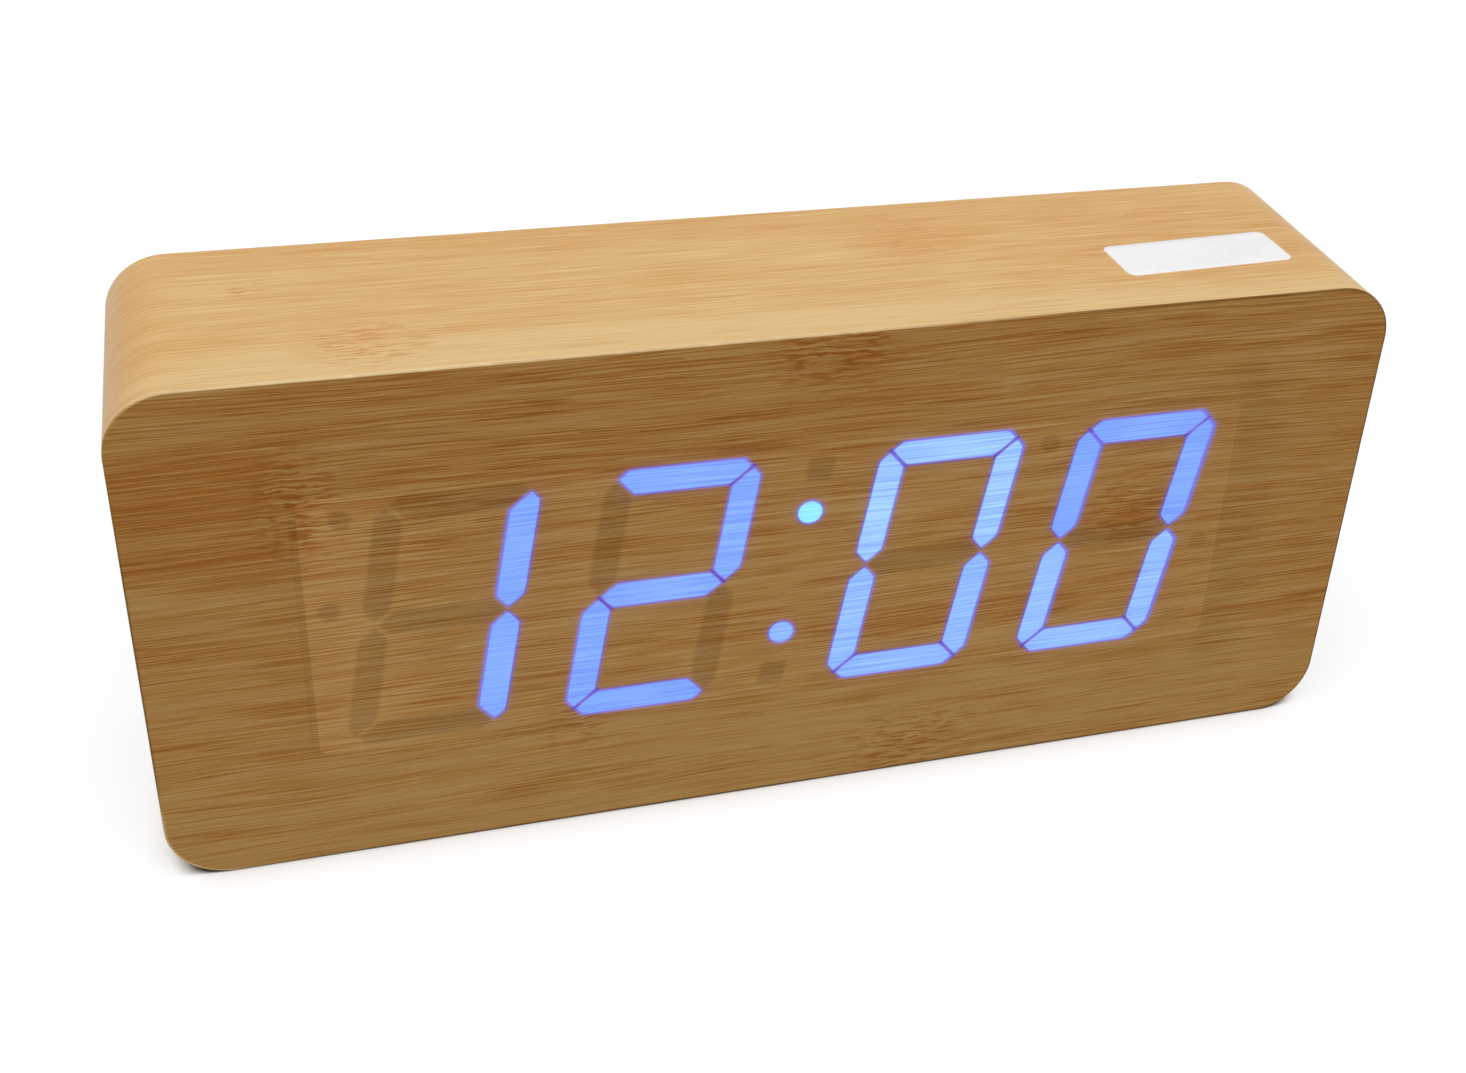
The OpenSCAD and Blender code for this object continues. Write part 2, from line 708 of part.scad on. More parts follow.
module resistors() color("black") slab(main_front - resistor_l / 5, main_front)
    for (i = [0:resistor_count - 1])
        translate(resistor_place + [(i - (resistor_count - 1) / 2) * resistor_pitch, 0])
            square([resistor_l / 2, resistor_l], center = true);

// Two legs from the rear of the main board up to a level
module two_legs(place, spread, top_y) slab(main_rear, top_y)
    for (s = [-1, 1]) translate(place + [s * spread / 2, 0]) circle(d = leg_d);

module buzzer() color("dimgray") difference() {
    slab(main_rear, main_rear + buzzer_t) translate(buzzer_place) circle(d = buzzer_d);
    slab(main_rear + buzzer_t - sound_d, main_rear + buzzer_t + past) translate(buzzer_place) circle(d = sound_d);
}

module microphone() color("silver") {
    mic_face = cover_in - board_room / 2;
    slab(mic_face - mic_l, mic_face) translate(mic_place) circle(d = mic_d);
    two_legs(mic_place, mic_d / 2, mic_face - mic_l);
}

module thermistor() color("saddlebrown") {
    bead_y = main_rear + thermistor_l + thermistor_d / 2;
    translate([thermistor_place[0], bead_y, thermistor_place[1]]) sphere(d = thermistor_d);
    two_legs(thermistor_place, thermistor_d / 2, bead_y);
}

// Buttons and their switches

module key_switches() color("black") for (p = BUTTON_PLACES) difference() {
    slab(main_rear, switch_top) translate(p) square(switch_side, center = true);
    slab(switch_top - plunger_bore, switch_top + past) translate(p) circle(d = plunger_d + 2 * fit_gap);
}

module plunger(i) slab(switch_top - plunger_in, stem_y) translate(BUTTON_PLACES[i]) circle(d = plunger_d);

module set_plunger() color("dimgray") plunger(0);

module up_plunger() color("dimgray") plunger(1);

module down_plunger() color("dimgray") plunger(2);

// A domed button with a flange, a hollow skirt and a stem, and its raised sign as the child drawing
module button(i) translate([BUTTON_PLACES[i][0], 0, BUTTON_PLACES[i][1]]) {
    difference() {
        intersection() {
            slab(stem_y, button_top) circle(d = button_d);
            translate([0, button_top - button_dome, 0]) sphere(button_dome);
        }
        slab(stem_y - past, cover_in) difference() {
            circle(skirt_r);
            circle(plunger_d / 2 + stem_wall);
        }
    }
    slab(stem_y, flange_y) difference() {
        circle(button_d / 2 + flange_w);
        circle(skirt_r);
    }
    slab(button_top - 2 * sign_t, button_top + sign_t) children();
}

module triangle(turn) rotate(turn) polygon([for (a = [90, 210, 330]) sign_r * [cos(a), sin(a)]]);

module set_button() color("dimgray") button(0) difference() {
    circle(sign_r);
    circle(sign_r - ring_wall);
}

module up_button() color("dimgray") button(1) triangle(0);

module down_button() color("dimgray") button(2) triangle(180);

// Power socket

module power_socket() color("black") difference() {
    union() {
        slab(main_rear, cover_in - seat_gap) translate(socket_place) square(socket_side, center = true);
        slab(cover_in - 2 * seat_gap, socket_end) translate(socket_place) circle(d = socket_nose_d);
    }
    slab(socket_end - socket_depth, socket_end + past) translate(socket_place) circle(d = socket_d);
}

module socket_pin() color("silver") slab(socket_end - socket_depth, socket_end - socket_lip)
    translate(socket_place) circle(d = pin_d);

// Rear cover with the battery bay

module bay_panel(w, h, r) translate([bay_x, mid_z]) rounded_rect(w, h, r);

module cover_holes() {
    discs(BUTTON_PLACES, button_d + 2 * button_gap);
    discs([socket_place], socket_nose_d + 2 * socket_gap);
    discs([mic_place, buzzer_place], sound_d);
    discs([for (a = [0:60:300]) buzzer_place + sound_ring * [cos(a), sin(a)]], sound_d);
    for (i = [-1:1]) translate(thermistor_place + [i * slot_pitch, 0]) square([slot_w, slot_l], center = true);
    discs(COVER_SCREWS, cover_screw_d + 2 * fit_gap);
}

// Space for the cells: a trough under each, and one open room above
module battery_room() {
    slab(cell_y - trough_lip, cover_out) translate([bay_x, mid_z]) square([bay_l, bay_h], center = true);
    for (z = CELL_ROWS) translate([bay_left, cell_y, z]) rotate([0, 90, 0]) cylinder(r = trough_r, h = bay_l);
}

// Slots for the two contact tabs that leave the bay towards the main board
module tab_slots() for (row = [0, 3])
    translate([bay_left - bay_wall - past, cell_y - tab_w / 2 - seat_gap, CELL_ROWS[row] - contact_t / 2 - seat_gap])
        cube([bay_wall + 2 * past, tab_w + 2 * seat_gap, contact_t + 2 * seat_gap]);

// A rod on the door's hinge line, reaching past the door's sides
module hinge_rod(d, reach) translate([bay_x - door_w / 2 - reach, hinge_y, hinge_z]) rotate([0, 90, 0])
    cylinder(d = d, h = door_w + 2 * reach);

module rear_cover() color("#222222") difference() {
    union() {
        slab(cover_in, cover_out) panel(cover_w, cover_h, cover_r);
        slab(cover_in - rim_l, cover_in) difference() {
            panel(cavity_w - 2 * cover_gap, cavity_h - 2 * cover_gap, cavity_r);
            panel(cavity_w - 2 * cover_gap - 2 * rim_t, cavity_h - 2 * cover_gap - 2 * rim_t, cavity_r - rim_t);
        }
        slab(cover_in - door_rest_t, cover_in)
            bay_panel(opening_w + 2 * bay_wall, opening_h + 2 * bay_wall, bay_wall);
        slab(bay_front, cover_in) bay_panel(bay_l + 2 * bay_wall, bay_h + 2 * bay_wall, bay_wall);
        slab(main_rear, cover_in) discs(POSTS, post_d);
    }
    slab(bay_rim, cover_out + past) translate([bay_x, mid_z]) square([opening_w, opening_h], center = true);
    slab(cover_in - door_rest_t - past, cover_out + past) translate([bay_x, opening_bottom])
        square([tongue_w + 2 * door_gap, 2 * (nose_l + door_gap)], center = true);
    battery_room();
    tab_slots();
    hinge_rod(hinge_d + 2 * hinge_gap, hinge_l + 2 * door_gap);
    slab(cover_in - past, cover_out + past) cover_holes();
    slab(cover_out - tray_depth, cover_out + past) translate([main_x, button_z])
        stadium(2 * button_pitch, button_d + 2 * tray_rim);
    slab(cover_out - head_t, cover_out + past) discs(COVER_SCREWS, cover_head_d + 2 * head_gap);
    slab(main_rear - past, main_rear + board_screw_l) discs(POSTS, board_screw_d + 2 * fit_gap);
}

module battery_door() color("#2a2a2a") {
    difference() {
        union() {
            slab(door_in, cover_out) difference() {
                translate([bay_x - door_w / 2, door_bottom]) square([door_w, hinge_z - door_bottom]);
                for (s = [-1, 1]) translate([bay_x + s * (tongue_w + tongue_slot) / 2, door_bottom])
                    square([tongue_slot, 2 * tongue_l], center = true);
            }
            slab(door_in, cover_out - nose_in) translate([bay_x, door_bottom])
                square([tongue_w, 2 * nose_l], center = true);
            hinge_rod(door_t, 0);
        }
        translate([bay_x - tongue_w / 3, cover_out + tongue_l - scoop_t, door_bottom + tongue_l / 2])
            rotate([0, 90, 0]) cylinder(r = tongue_l, h = 2 * tongue_w / 3);
    }
    hinge_rod(hinge_d, hinge_l);
    slab(cover_out - door_t / 2, cover_out + grip_t)
        for (i = [1:3]) translate([bay_x, door_bottom + tongue_l + i * grip_pitch])
            square([tongue_w, grip_l], center = true);
}

// Cells lie with their nubs left and right by turns
module batteries() color("seagreen") for (i = [0:3])
    translate([i % 2 == 0 ? bay_left : bay_right, cell_y, CELL_ROWS[i]]) rotate([0, i % 2 == 0 ? 90 : -90, 0])
        translate([0, 0, contact_t + seat_gap]) {
            cylinder(d = nub_d, h = nub_l);
            translate([0, 0, nub_l]) cylinder(d = cell_d, h = cell_l - nub_l);
        }

// A contact plate across a run of cells, against one end of the bay
module contact_plate(first, last, x) {
    low = CELL_ROWS[last] - plate_end;
    high = CELL_ROWS[first] + plate_end;
    translate([x, plate_from, low]) cube([contact_t, plate_to - plate_from, high - low]);
}

module contact_tab(row) translate([tab_end, cell_y - tab_w / 2, CELL_ROWS[row] - contact_t / 2])
    cube([bay_left - tab_end + contact_t, tab_w, contact_t]);

module contact_plates() color("silver") {
    contact_plate(0, 0, bay_left);
    contact_plate(1, 2, bay_left);
    contact_plate(3, 3, bay_left);
    contact_plate(0, 1, bay_right - contact_t);
    contact_plate(2, 3, bay_right - contact_t);
    contact_tab(0);
    contact_tab(3);
}

function spring_angle(t) = 360 * spring_turns * t;

function spring_point(t) =
    let (a = spring_angle(t), r = spring_base_r + (spring_tip_r - spring_base_r) * t)
    [r * cos(a), r * sin(a), spring_rise * t];

function spring_ring(t) =
    let (a = spring_angle(t), out = [cos(a), sin(a), 0], up = [0, 0, 1])
    [for (j = [0:SPRING_SIDES - 1])
        let (b = 360 * j / SPRING_SIDES)
        spring_point(t) + spring_wire / 2 * (cos(b) * out + sin(b) * up)];

// Least distance between the turns, less the wire
SPRING_PATH = [for (i = [0:spring_steps]) spring_point(i / spring_steps)];
spring_gap = min([for (i = [0:spring_steps], j = [0:spring_steps])
    if (j - i > SPRING_RINGS / 2) norm(SPRING_PATH[j] - SPRING_PATH[i])]) - spring_wire;
echo(spring_gap = spring_gap);

module spring() {
    n = SPRING_SIDES;
    last = spring_steps * n;
    points = [for (i = [0:spring_steps]) each spring_ring(i / spring_steps)];
    sides = [for (i = [0:spring_steps - 1], j = [0:n - 1])
        let (a = i * n + j, b = i * n + (j + 1) % n)
        each [[a, a + n, b], [b, a + n, b + n]]];
    ends = [for (j = [1:n - 2]) each [[0, j, j + 1], [last, last + j + 1, last + j]]];
    polyhedron(points, concat(sides, ends));
}

module contact_springs() color("silver") for (i = [0:3])
    translate([i % 2 == 0 ? bay_right - contact_t : bay_left + contact_t, cell_y, CELL_ROWS[i]])
        rotate([0, i % 2 == 0 ? -90 : 90, 0]) translate([0, 0, spring_wire / 2 + seat_gap]) spring();

// A lead from a contact tab, bent round into the rear of the main board
module lead(row) translate([lead_x, 0, CELL_ROWS[row]]) {
    translate([lead_bend, cell_y, 0]) rotate([0, 90, 0]) cylinder(d = lead_d, h = tab_end - lead_x - lead_bend);
    translate([lead_bend, cell_y - lead_bend, 0]) rotate([0, 0, 90]) rotate_extrude(angle = 90)
        translate([lead_bend, 0]) circle(d = lead_d);
    slab(main_rear, cell_y - lead_bend) circle(d = lead_d);
}

module red_lead() color("firebrick") lead(0);

module black_lead() color("black") lead(3);

// Fasteners

module cover_screws() color("dimgray")
    screws(COVER_SCREWS, cover_out - head_t, -1, cover_screw_d, cover_head_d, cover_screw_l);

module board_screws() color("silver")
    screws(POSTS, main_front, 1, board_screw_d, board_head_d, board_screw_l);

module display_screws() color("silver")
    screws(DISPLAY_SCREWS, display_back, -1, board_screw_d, board_head_d, board_screw_l);

case_core();
wrap_film();
front_film();
rear_film();
top_label();
display_housing();
lit_bars();
unlit_bars();
colon_dots();
indicator_marks();
display_board();
segment_leds();
display_header();
ribbon_cable();
main_board();
main_header();
clock_chip();
crystal();
resistors();
capacitor();
buzzer();
microphone();
thermistor();
key_switches();
set_plunger();
up_plunger();
down_plunger();
set_button();
up_button();
down_button();
power_socket();
socket_pin();
rear_cover();
battery_door();
batteries();
contact_plates();
contact_springs();
red_lead();
black_lead();
cover_screws();
board_screws();
display_screws();
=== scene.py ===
import math

import bmesh
import bpy
from mathutils import Matrix, Vector, noise
from mathutils.geometry import delaunay_2d_cdt


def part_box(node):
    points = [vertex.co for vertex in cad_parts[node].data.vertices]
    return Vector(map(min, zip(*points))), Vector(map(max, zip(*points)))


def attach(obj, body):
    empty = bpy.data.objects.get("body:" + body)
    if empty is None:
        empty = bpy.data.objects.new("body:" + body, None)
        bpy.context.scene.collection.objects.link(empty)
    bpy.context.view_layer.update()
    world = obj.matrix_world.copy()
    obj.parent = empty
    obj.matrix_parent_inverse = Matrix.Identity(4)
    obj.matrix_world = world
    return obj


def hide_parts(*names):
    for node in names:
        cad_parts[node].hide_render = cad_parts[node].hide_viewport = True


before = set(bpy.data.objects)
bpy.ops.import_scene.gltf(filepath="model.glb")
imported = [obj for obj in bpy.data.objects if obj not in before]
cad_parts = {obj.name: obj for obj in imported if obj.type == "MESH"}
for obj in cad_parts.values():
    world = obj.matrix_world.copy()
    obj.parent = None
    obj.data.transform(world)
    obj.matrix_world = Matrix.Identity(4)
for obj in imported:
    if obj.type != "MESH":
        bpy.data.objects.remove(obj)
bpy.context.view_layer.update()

scene = bpy.context.scene
mm = 0.001
print("frame loaded with", len(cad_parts), "nodes")


def addObject(name, data):
    thing = bpy.data.objects.new(name, data)
    scene.collection.objects.link(thing)
    return thing


def boxOf(node):
    return [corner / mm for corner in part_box(node)]


# Camera at the photograph's place, in millimetres, degrees and pixels of the 1466 x 1073 picture
cameraView = {
    "picture": (1466, 1073),
    "focal": 1945.9,
    "place": (-81.46, -280.69, 231.82),
    "yaw": 20.147,
    "pitch": 31.764,
    "roll": 4.529,
    "axisPixel": (877.4, 484.7),
    "sensor": 36.0,
    "nearest": 0.01,  # metres
}


def makeCamera(s):
    wide, high = s["picture"]
    yaw, pitch, roll = (math.radians(s[key]) for key in ("yaw", "pitch", "roll"))
    ahead = Vector((math.sin(yaw) * math.cos(pitch), math.cos(yaw) * math.cos(pitch), -math.sin(pitch)))
    right = Vector((math.cos(yaw), -math.sin(yaw), 0))
    up = right.cross(ahead)
    tiltedRight = right * math.cos(roll) + up * math.sin(roll)
    tiltedUp = up * math.cos(roll) - right * math.sin(roll)
    lens = bpy.data.cameras.new("photoCamera")
    lens.sensor_width = s["sensor"]
    lens.lens = s["focal"] * s["sensor"] / wide
    lens.shift_x = (wide / 2 - s["axisPixel"][0]) / wide
    lens.shift_y = (s["axisPixel"][1] - high / 2) / wide
    lens.clip_start = s["nearest"]
    scene.camera = addObject("photoCamera", lens)
    turn = Matrix((tiltedRight, tiltedUp, -ahead)).transposed().to_4x4()
    scene.camera.matrix_world = Matrix.Translation(Vector(s["place"]) * mm) @ turn


makeCamera(cameraView)
print("camera placed")


# Helpers for node trees. They work on the tree that was started last
bench = {}
softRange = (0.3, 0.7)  # usual spread of a noise
firmRange = (0.35, 0.65)


def startTree(owner):
    owner.use_nodes = True
    bench["owner"] = owner
    bench["tree"] = owner.node_tree


def startMaterial(name):
    startTree(bpy.data.materials.new(name))


def feed(socket, value):
    if isinstance(value, bpy.types.NodeSocket):
        bench["tree"].links.new(value, socket)
    else:
        socket.default_value = value


def makeNode(kind, inputs=None, **props):
    node = bench["tree"].nodes.new("ShaderNode" + kind)
    for key, value in props.items():
        setattr(node, key, value)
    for key, value in (inputs or {}).items():
        feed(node.inputs[key], value)
    return node


def calc(operation, first, second, clamp=False):
    return makeNode("Math", {0: first, 1: second}, operation=operation, use_clamp=clamp).outputs[0]


def plus(first, second):
    return calc("ADD", first, second)


def minus(first, second):
    return calc("SUBTRACT", first, second)


def times(first, second):
    return calc("MULTIPLY", first, second)


def rescale(value, fromLow, fromHigh, toLow=0.0, toHigh=1.0, kind="SMOOTHSTEP"):
    places = {"Value": value, "From Min": fromLow, "From Max": fromHigh, "To Min": toLow, "To Max": toHigh}
    return makeNode("MapRange", places, interpolation_type=kind).outputs["Result"]


def tint(factor, first, second, mode="MIX"):
    return makeNode("Mix", {0: factor, 6: first, 7: second}, data_type="RGBA", blend_type=mode).outputs[2]


def ramp(factor, stops):
    node = makeNode("ValToRGB", {0: factor})
    elements = node.color_ramp.elements
    for i, (place, colour) in enumerate(stops):  # lowest, highest, then those between
        stop = elements[i] if i < 2 else elements.new(place)
        stop.position, stop.color = place, colour
    return node.outputs[0]


def stretched(vector, scale, shift=(0, 0, 0)):
    return makeNode("VectorMath", {0: vector, 1: scale, 2: shift}, operation="MULTIPLY_ADD").outputs[0]


def speckle(vector, scale=1.0, detail=2.0, rough=0.5):
    places = {"Vector": vector, "Scale": scale, "Detail": detail, "Roughness": rough}
    return makeNode("TexNoise", places).outputs[0]


def attribute(name, output="Fac"):
    return makeNode("Attribute", attribute_name=name).outputs[output]


def startSurface(name):
    startMaterial(name)
    return makeNode("TexCoord").outputs["Object"]


def bumped(height, depth):
    return makeNode("Bump", {"Height": height, "Distance": depth, "Strength": 1.0}).outputs[0]


def finished(**sockets):
    names = {"colour": "Base Color", "rough": "Roughness", "normal": "Normal", "metal": "Metallic",
             "shine": "Specular IOR Level", "glow": "Emission Color", "glowLevel": "Emission Strength",
             "coat": "Coat Weight"}
    shader = bench["tree"].nodes["Principled BSDF"]
    for key, value in sockets.items():
        feed(shader.inputs[names[key]], value)
    return bench["owner"]


def srgb(red, green, blue):
    def linear(level):
        part = level / 255
        return part / 12.92 if part <= 0.04045 else ((part + 0.055) / 1.055) ** 2.4
    return linear(red), linear(green), linear(blue), 1.0


def twoTone(colour, second, rough, **more):
    return {"colour": srgb(*colour), "second": srgb(*second), "rough": rough, **more}


# Helpers for drawings: lists of (x, z) in millimetres, counterclockwise
def pairs(points):
    return zip(points, points[1:] + points[:1])


def between(p, q, parts):
    return [(p[0] + (q[0] - p[0]) * n / parts, p[1] + (q[1] - p[1]) * n / parts) for n in range(parts)]


def split(p, q, longest):
    return between(p, q, max(1, round(math.dist(p, q) / longest)))


def splitLoop(points, longest):
    return [place for p, q in pairs(points) for place in split(p, q, longest)]


def arc(middle, radius, start, steps):
    turns = [math.radians(start + 90 * i / steps) for i in range(steps + 1)]
    return [(middle[0] + radius * math.cos(a), middle[1] + radius * math.sin(a)) for a in turns]


def roundedOutline(wide, high, radius, middle, arcSteps, sideParts=(1, 1)):
    points = []
    for k, (sx, sz) in enumerate(((1, -1), (1, 1), (-1, 1), (-1, -1))):
        corner = (middle[0] + sx * (wide / 2 - radius), middle[1] + sz * (high / 2 - radius))
        points += arc(corner, radius, 90 * (k - 1), arcSteps)
    outline = []
    for i, p in enumerate(points):
        side, step = divmod(i, arcSteps + 1)
        parts = sideParts[(side + 1) % 2] if step == arcSteps else 1
        outline += between(p, points[(i + 1) % len(points)], parts)
    return outline


def ringOutline(diameter, middle, steps):
    turns = [2 * math.pi * i / steps for i in range(steps)]
    return [(middle[0] + diameter / 2 * math.cos(a), middle[1] + diameter / 2 * math.sin(a)) for a in turns]


def sidesOf(points):
    sides = []
    for p, q in pairs(points):
        length = math.dist(p, q)
        nx, nz = (q[1] - p[1]) / length, (p[0] - q[0]) / length
        sides.append((nx, nz, nx * p[0] + nz * p[1]))
    return sides


def outside(sides, x, z):
    return max(nx * x + nz * z - c for nx, nz, c in sides)


def grown(points, step):
    sides = sidesOf(points)
    moved = []
    for i, (bx, bz, bc) in enumerate(sides):
        ax, az, ac = sides[i - 1]
        cross = ax * bz - az * bx
        p, q = ac + step, bc + step
        moved.append(((p * bz - q * az) / cross, (q * ax - p * bx) / cross))
    return moved


def gridInside(sides, corner, size, step, start):
    grid = []
    for i in range(int(size[0] / step) + 1):
        for j in range(int(size[1] / step) + 1):
            x, z = corner[0] + (i + start) * step, corner[1] + (j + start) * step
            if outside(sides, x, z) < 0:
                grid.append((x, z))
    return grid


def smooth(value, low, high):
    t = min(1.0, max(0.0, (value - low) / (high - low)))
    return t * t * (3 - 2 * t)


def loopEdges(base, count):
    return [(base + i, base + (i + 1) % count) for i in range(count)]


def filled(boundary, extra, loops):
    points, edges = list(boundary), loopEdges(0, len(boundary))
    for loop in loops:
        edges += loopEdges(len(points), len(loop))
        points += loop
    points += extra
    outline = [list(range(len(boundary)))]
    verts, _, faces, origins, _, _ = delaunay_2d_cdt([Vector(p) for p in points], edges, outline, 1, 1e-5)
    return verts, faces, origins


# Helpers for meshes
def shadeSmooth(mesh, angle):
    mesh.polygons.foreach_set("use_smooth", [True] * len(mesh.polygons))
    mesh.set_sharp_from_angle(angle=math.radians(angle))


def makeObject(name, verts, faces, smoothAngle):
    mesh = bpy.data.meshes.new(name)
    mesh.from_pydata([Vector(v) * mm for v in verts], [], faces)
    bm = bmesh.new()
    bm.from_mesh(mesh)
    bmesh.ops.recalc_face_normals(bm, faces=bm.faces)
    bm.to_mesh(mesh)
    bm.free()
    shadeSmooth(mesh, smoothAngle)
    return addObject(name, mesh)


def keepNumbers(piece, **lists):
    for name, values in lists.items():
        layer = piece.data.attributes.new(name, "FLOAT", "POINT")
        layer.data.foreach_set("value", values)


def keepGrain(piece, places):
    layer = piece.data.attributes.new("grain", "FLOAT_VECTOR", "POINT")
    layer.data.foreach_set("vector", [x for place in places for x in place])


def settle(piece, material, body, slot, *nodes):
    piece.data.materials.append(material)
    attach(piece, body)
    if nodes:
        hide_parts(*nodes)


def loopFaces(first, second, count, closed=True):
    last = count if closed else count - 1
    return [(first + i, first + (i + 1) % count, second + (i + 1) % count, second + i) for i in range(last)]


# Sizes of the case: the frame's boxes in millimetres, and the radius of the corners
frontLow, frontHigh = boxOf("front_film")
rearLow, rearHigh = boxOf("rear_film")
housingLow, housingHigh = boxOf("display_housing")
coverLow, coverHigh = boxOf("rear_cover")
case = {
    "wide": frontHigh.x - frontLow.x,
    "high": frontHigh.z - frontLow.z,
    "middle": (0.0, (frontLow.z + frontHigh.z) / 2),
    "corner": 10.2,
    "front": frontLow.y,
    "frontBack": frontHigh.y,
    "rearFront": rearLow.y,
    "rear": rearHigh.y,
    "film": frontHigh.y - frontLow.y,
}


def caseOutline(inset, arcSteps, sideParts=(1, 1)):
    wide, high, corner = case["wide"] - 2 * inset, case["high"] - 2 * inset, case["corner"] - inset
    return roundedOutline(wide, high, corner, case["middle"], arcSteps, sideParts)


# Bamboo-pattern film. Its grain follows the attribute grain: along, across, place
bamboo = {
    # Layers of noise: stretch along and across the grain, shift, detail, roughness
    "wander": (0.011, 0.045, (0, 0, 0), 1.0, 0.5),
    "knotWander": (0.30, 0.45, (0, 0, 0), 2.0, 0.5),
    "fibre": (0.040, 3.3, (0, 0, 0), 3.0, 0.55),
    "fine": (0.10, 4.8, (2, 6, 3), 1.0, 0.5),
    "broad": (0.012, 0.30, (3, 5, 7), 1.0, 0.5),
    "stroke": (0.032, 3.0, (9, 2, 4), 1.5, 0.5),
    "hair": (0.055, 4.0, (4, 1, 6), 1.0, 0.5),
    "patch": (0.018, 0.24, (1, 8, 2), 1.0, 0.5),
    "dash": (0.22, 1.9, (5, 5, 1), 2.0, 0.5),
    # Weights, the levels of the four tones, and where each kind of mark fades in
    "wanderReach": 4.0,
    "knotReach": 1.3,
    "fibreShare": 0.68,
    "fineShare": 0.32,
    "bandShare": 0.14,
    "strokeShare": 0.5,
    "knotShare": 0.95,
    "toneLevels": {"deep": 0.33, "pale": 0.57, "dark": 0.42, "middle": 0.50},
    "strokeFade": (0.55, 0.62),
    "patchFade": (0.34, 0.62, 0.4, 1.0),
    "hairFade": (0.54, 0.60),
    "broadFade": (0.62, 0.38, 0.35, 0.85),
    "denseFade": (-0.6, 0.9, 0.5, 1.6),
    "dashFade": (0.50, 0.59),
    "strokeDepth": 0.4,
    "bumpDepth": 0.00003,  # metres
}

wrapTones = {
    "deep": srgb(205, 148, 73),
    "dark": srgb(212, 162, 91),
    "middle": srgb(218, 176, 111),
    "pale": srgb(224, 189, 130),
    "stroke": srgb(202, 145, 72),
    "knot": srgb(203, 143, 76),
    # Edge tones: a painted highlight on the arrises, then the film's dark cut edge with painted shade
    "worn": srgb(255, 238, 202),
    "cut": srgb(150, 104, 58),
    "rough": (0.36, 0.48),
    "shine": 0.42,
    "broad": 0.05,
}

# The same bamboo film as on the wrap, in darker and more orange tones: painted shade of the front face
shadedFrontTones = {
    "deep": srgb(181, 118, 48),
    "dark": srgb(192, 135, 65),
    "middle": srgb(201, 151, 84),
    "pale": srgb(207, 163, 99),
    "stroke": srgb(167, 103, 36),
    "knot": srgb(165, 98, 34),
    # Edge tones: a painted highlight on the arrises, then the film's dark cut edge with painted shade
    "worn": srgb(255, 230, 178),
    "cut": srgb(84, 54, 26),
    "rough": (0.52, 0.62),
    "shine": 0.06,
    "broad": 0.14,
}


def grainLayer(place, key):
    along, across, shift, detail, rough = bamboo[key]
    return speckle(stretched(place, (along, across, 1.0), shift), detail=detail, rough=rough)


def faded(value, key):
    return rescale(value, *bamboo[key])


def woodColour(tones):
    s = bamboo
    grain, knot, band = attribute("grain", "Vector"), attribute("knot"), attribute("band")
    wander = times(minus(grainLayer(grain, "wander"), 0.5), s["wanderReach"])
    bend = times(times(minus(grainLayer(grain, "knotWander"), 0.5), knot), s["knotReach"])
    across = makeNode("CombineXYZ", {1: plus(wander, bend)}).outputs[0]
    place = makeNode("VectorMath", {0: grain, 1: across}, operation="ADD").outputs[0]
    keys = ("fibre", "fine", "broad", "stroke", "hair", "patch", "dash")
    fibre, fine, broad, stroke, hair, patch, dash = (grainLayer(place, key) for key in keys)
    level = plus(times(fibre, s["fibreShare"]), times(broad, tones["broad"]))
    level = plus(level, times(fine, s["fineShare"] - tones["broad"]))
    level = minus(level, times(band, s["bandShare"]))
    colour = ramp(level, [(stop, tones[key]) for key, stop in s["toneLevels"].items()])
    dense = rescale(band, *s["denseFade"], "LINEAR")
    strokes = times(times(faded(stroke, "strokeFade"), faded(patch, "patchFade")), dense)
    hairs = times(times(faded(hair, "hairFade"), faded(broad, "broadFade")), dense)
    knotMarks = times(faded(dash, "dashFade"), times(knot, s["knotShare"]))
    # The last two tints are painted shade at the edges, partly the film's dark cut edge, and a painted
    # highlight on the arrises
    for share, key in ((times(strokes, s["strokeShare"]), "stroke"), (hairs, "stroke"), (knotMarks, "knot"),
                       (attribute("cut"), "cut"), (attribute("worn"), "worn")):
        colour = tint(share, colour, tones[key])
    surface = {"rough": rescale(fibre, *softRange, *tones["rough"]), "shine": tones["shine"],
               "normal": bumped(minus(fibre, times(strokes, s["strokeDepth"])), s["bumpDepth"])}
    return colour, fibre, surface


def filmMaterial(name, tones):
    startMaterial(name)
    colour, fibre, surface = woodColour(tones)
    return finished(colour=colour, **surface)


# Glow of the lit bars on the film, and the grey of the unlit ones
glow = {
    "blue": srgb(125, 166, 250),
    "bright": srgb(160, 205, 252),
    "cyan": srgb(150, 240, 255),
    "brightLevel": 0.6,
    "dark": (0.0, 0.0, 0.0, 1.0),
    "deep": (0.05, 0.08, 1.0, 1.0),
    "gap": srgb(108, 62, 186),
    "bleed": srgb(102, 118, 244),
    "behind": (0.03, 0.03, 0.04, 1.0),
    "ghost": (0.80, 0.785, 0.78, 1.0),
    "border": (0.86, 0.86, 0.86, 1.0),
    "pane": (1.02, 1.06, 1.20, 1.0),
    "seam": (0.86, 0.88, 0.90, 1.0),
    "streak": (0.68, 1.26),
    "coreFade": (0.55, 1.0),
}


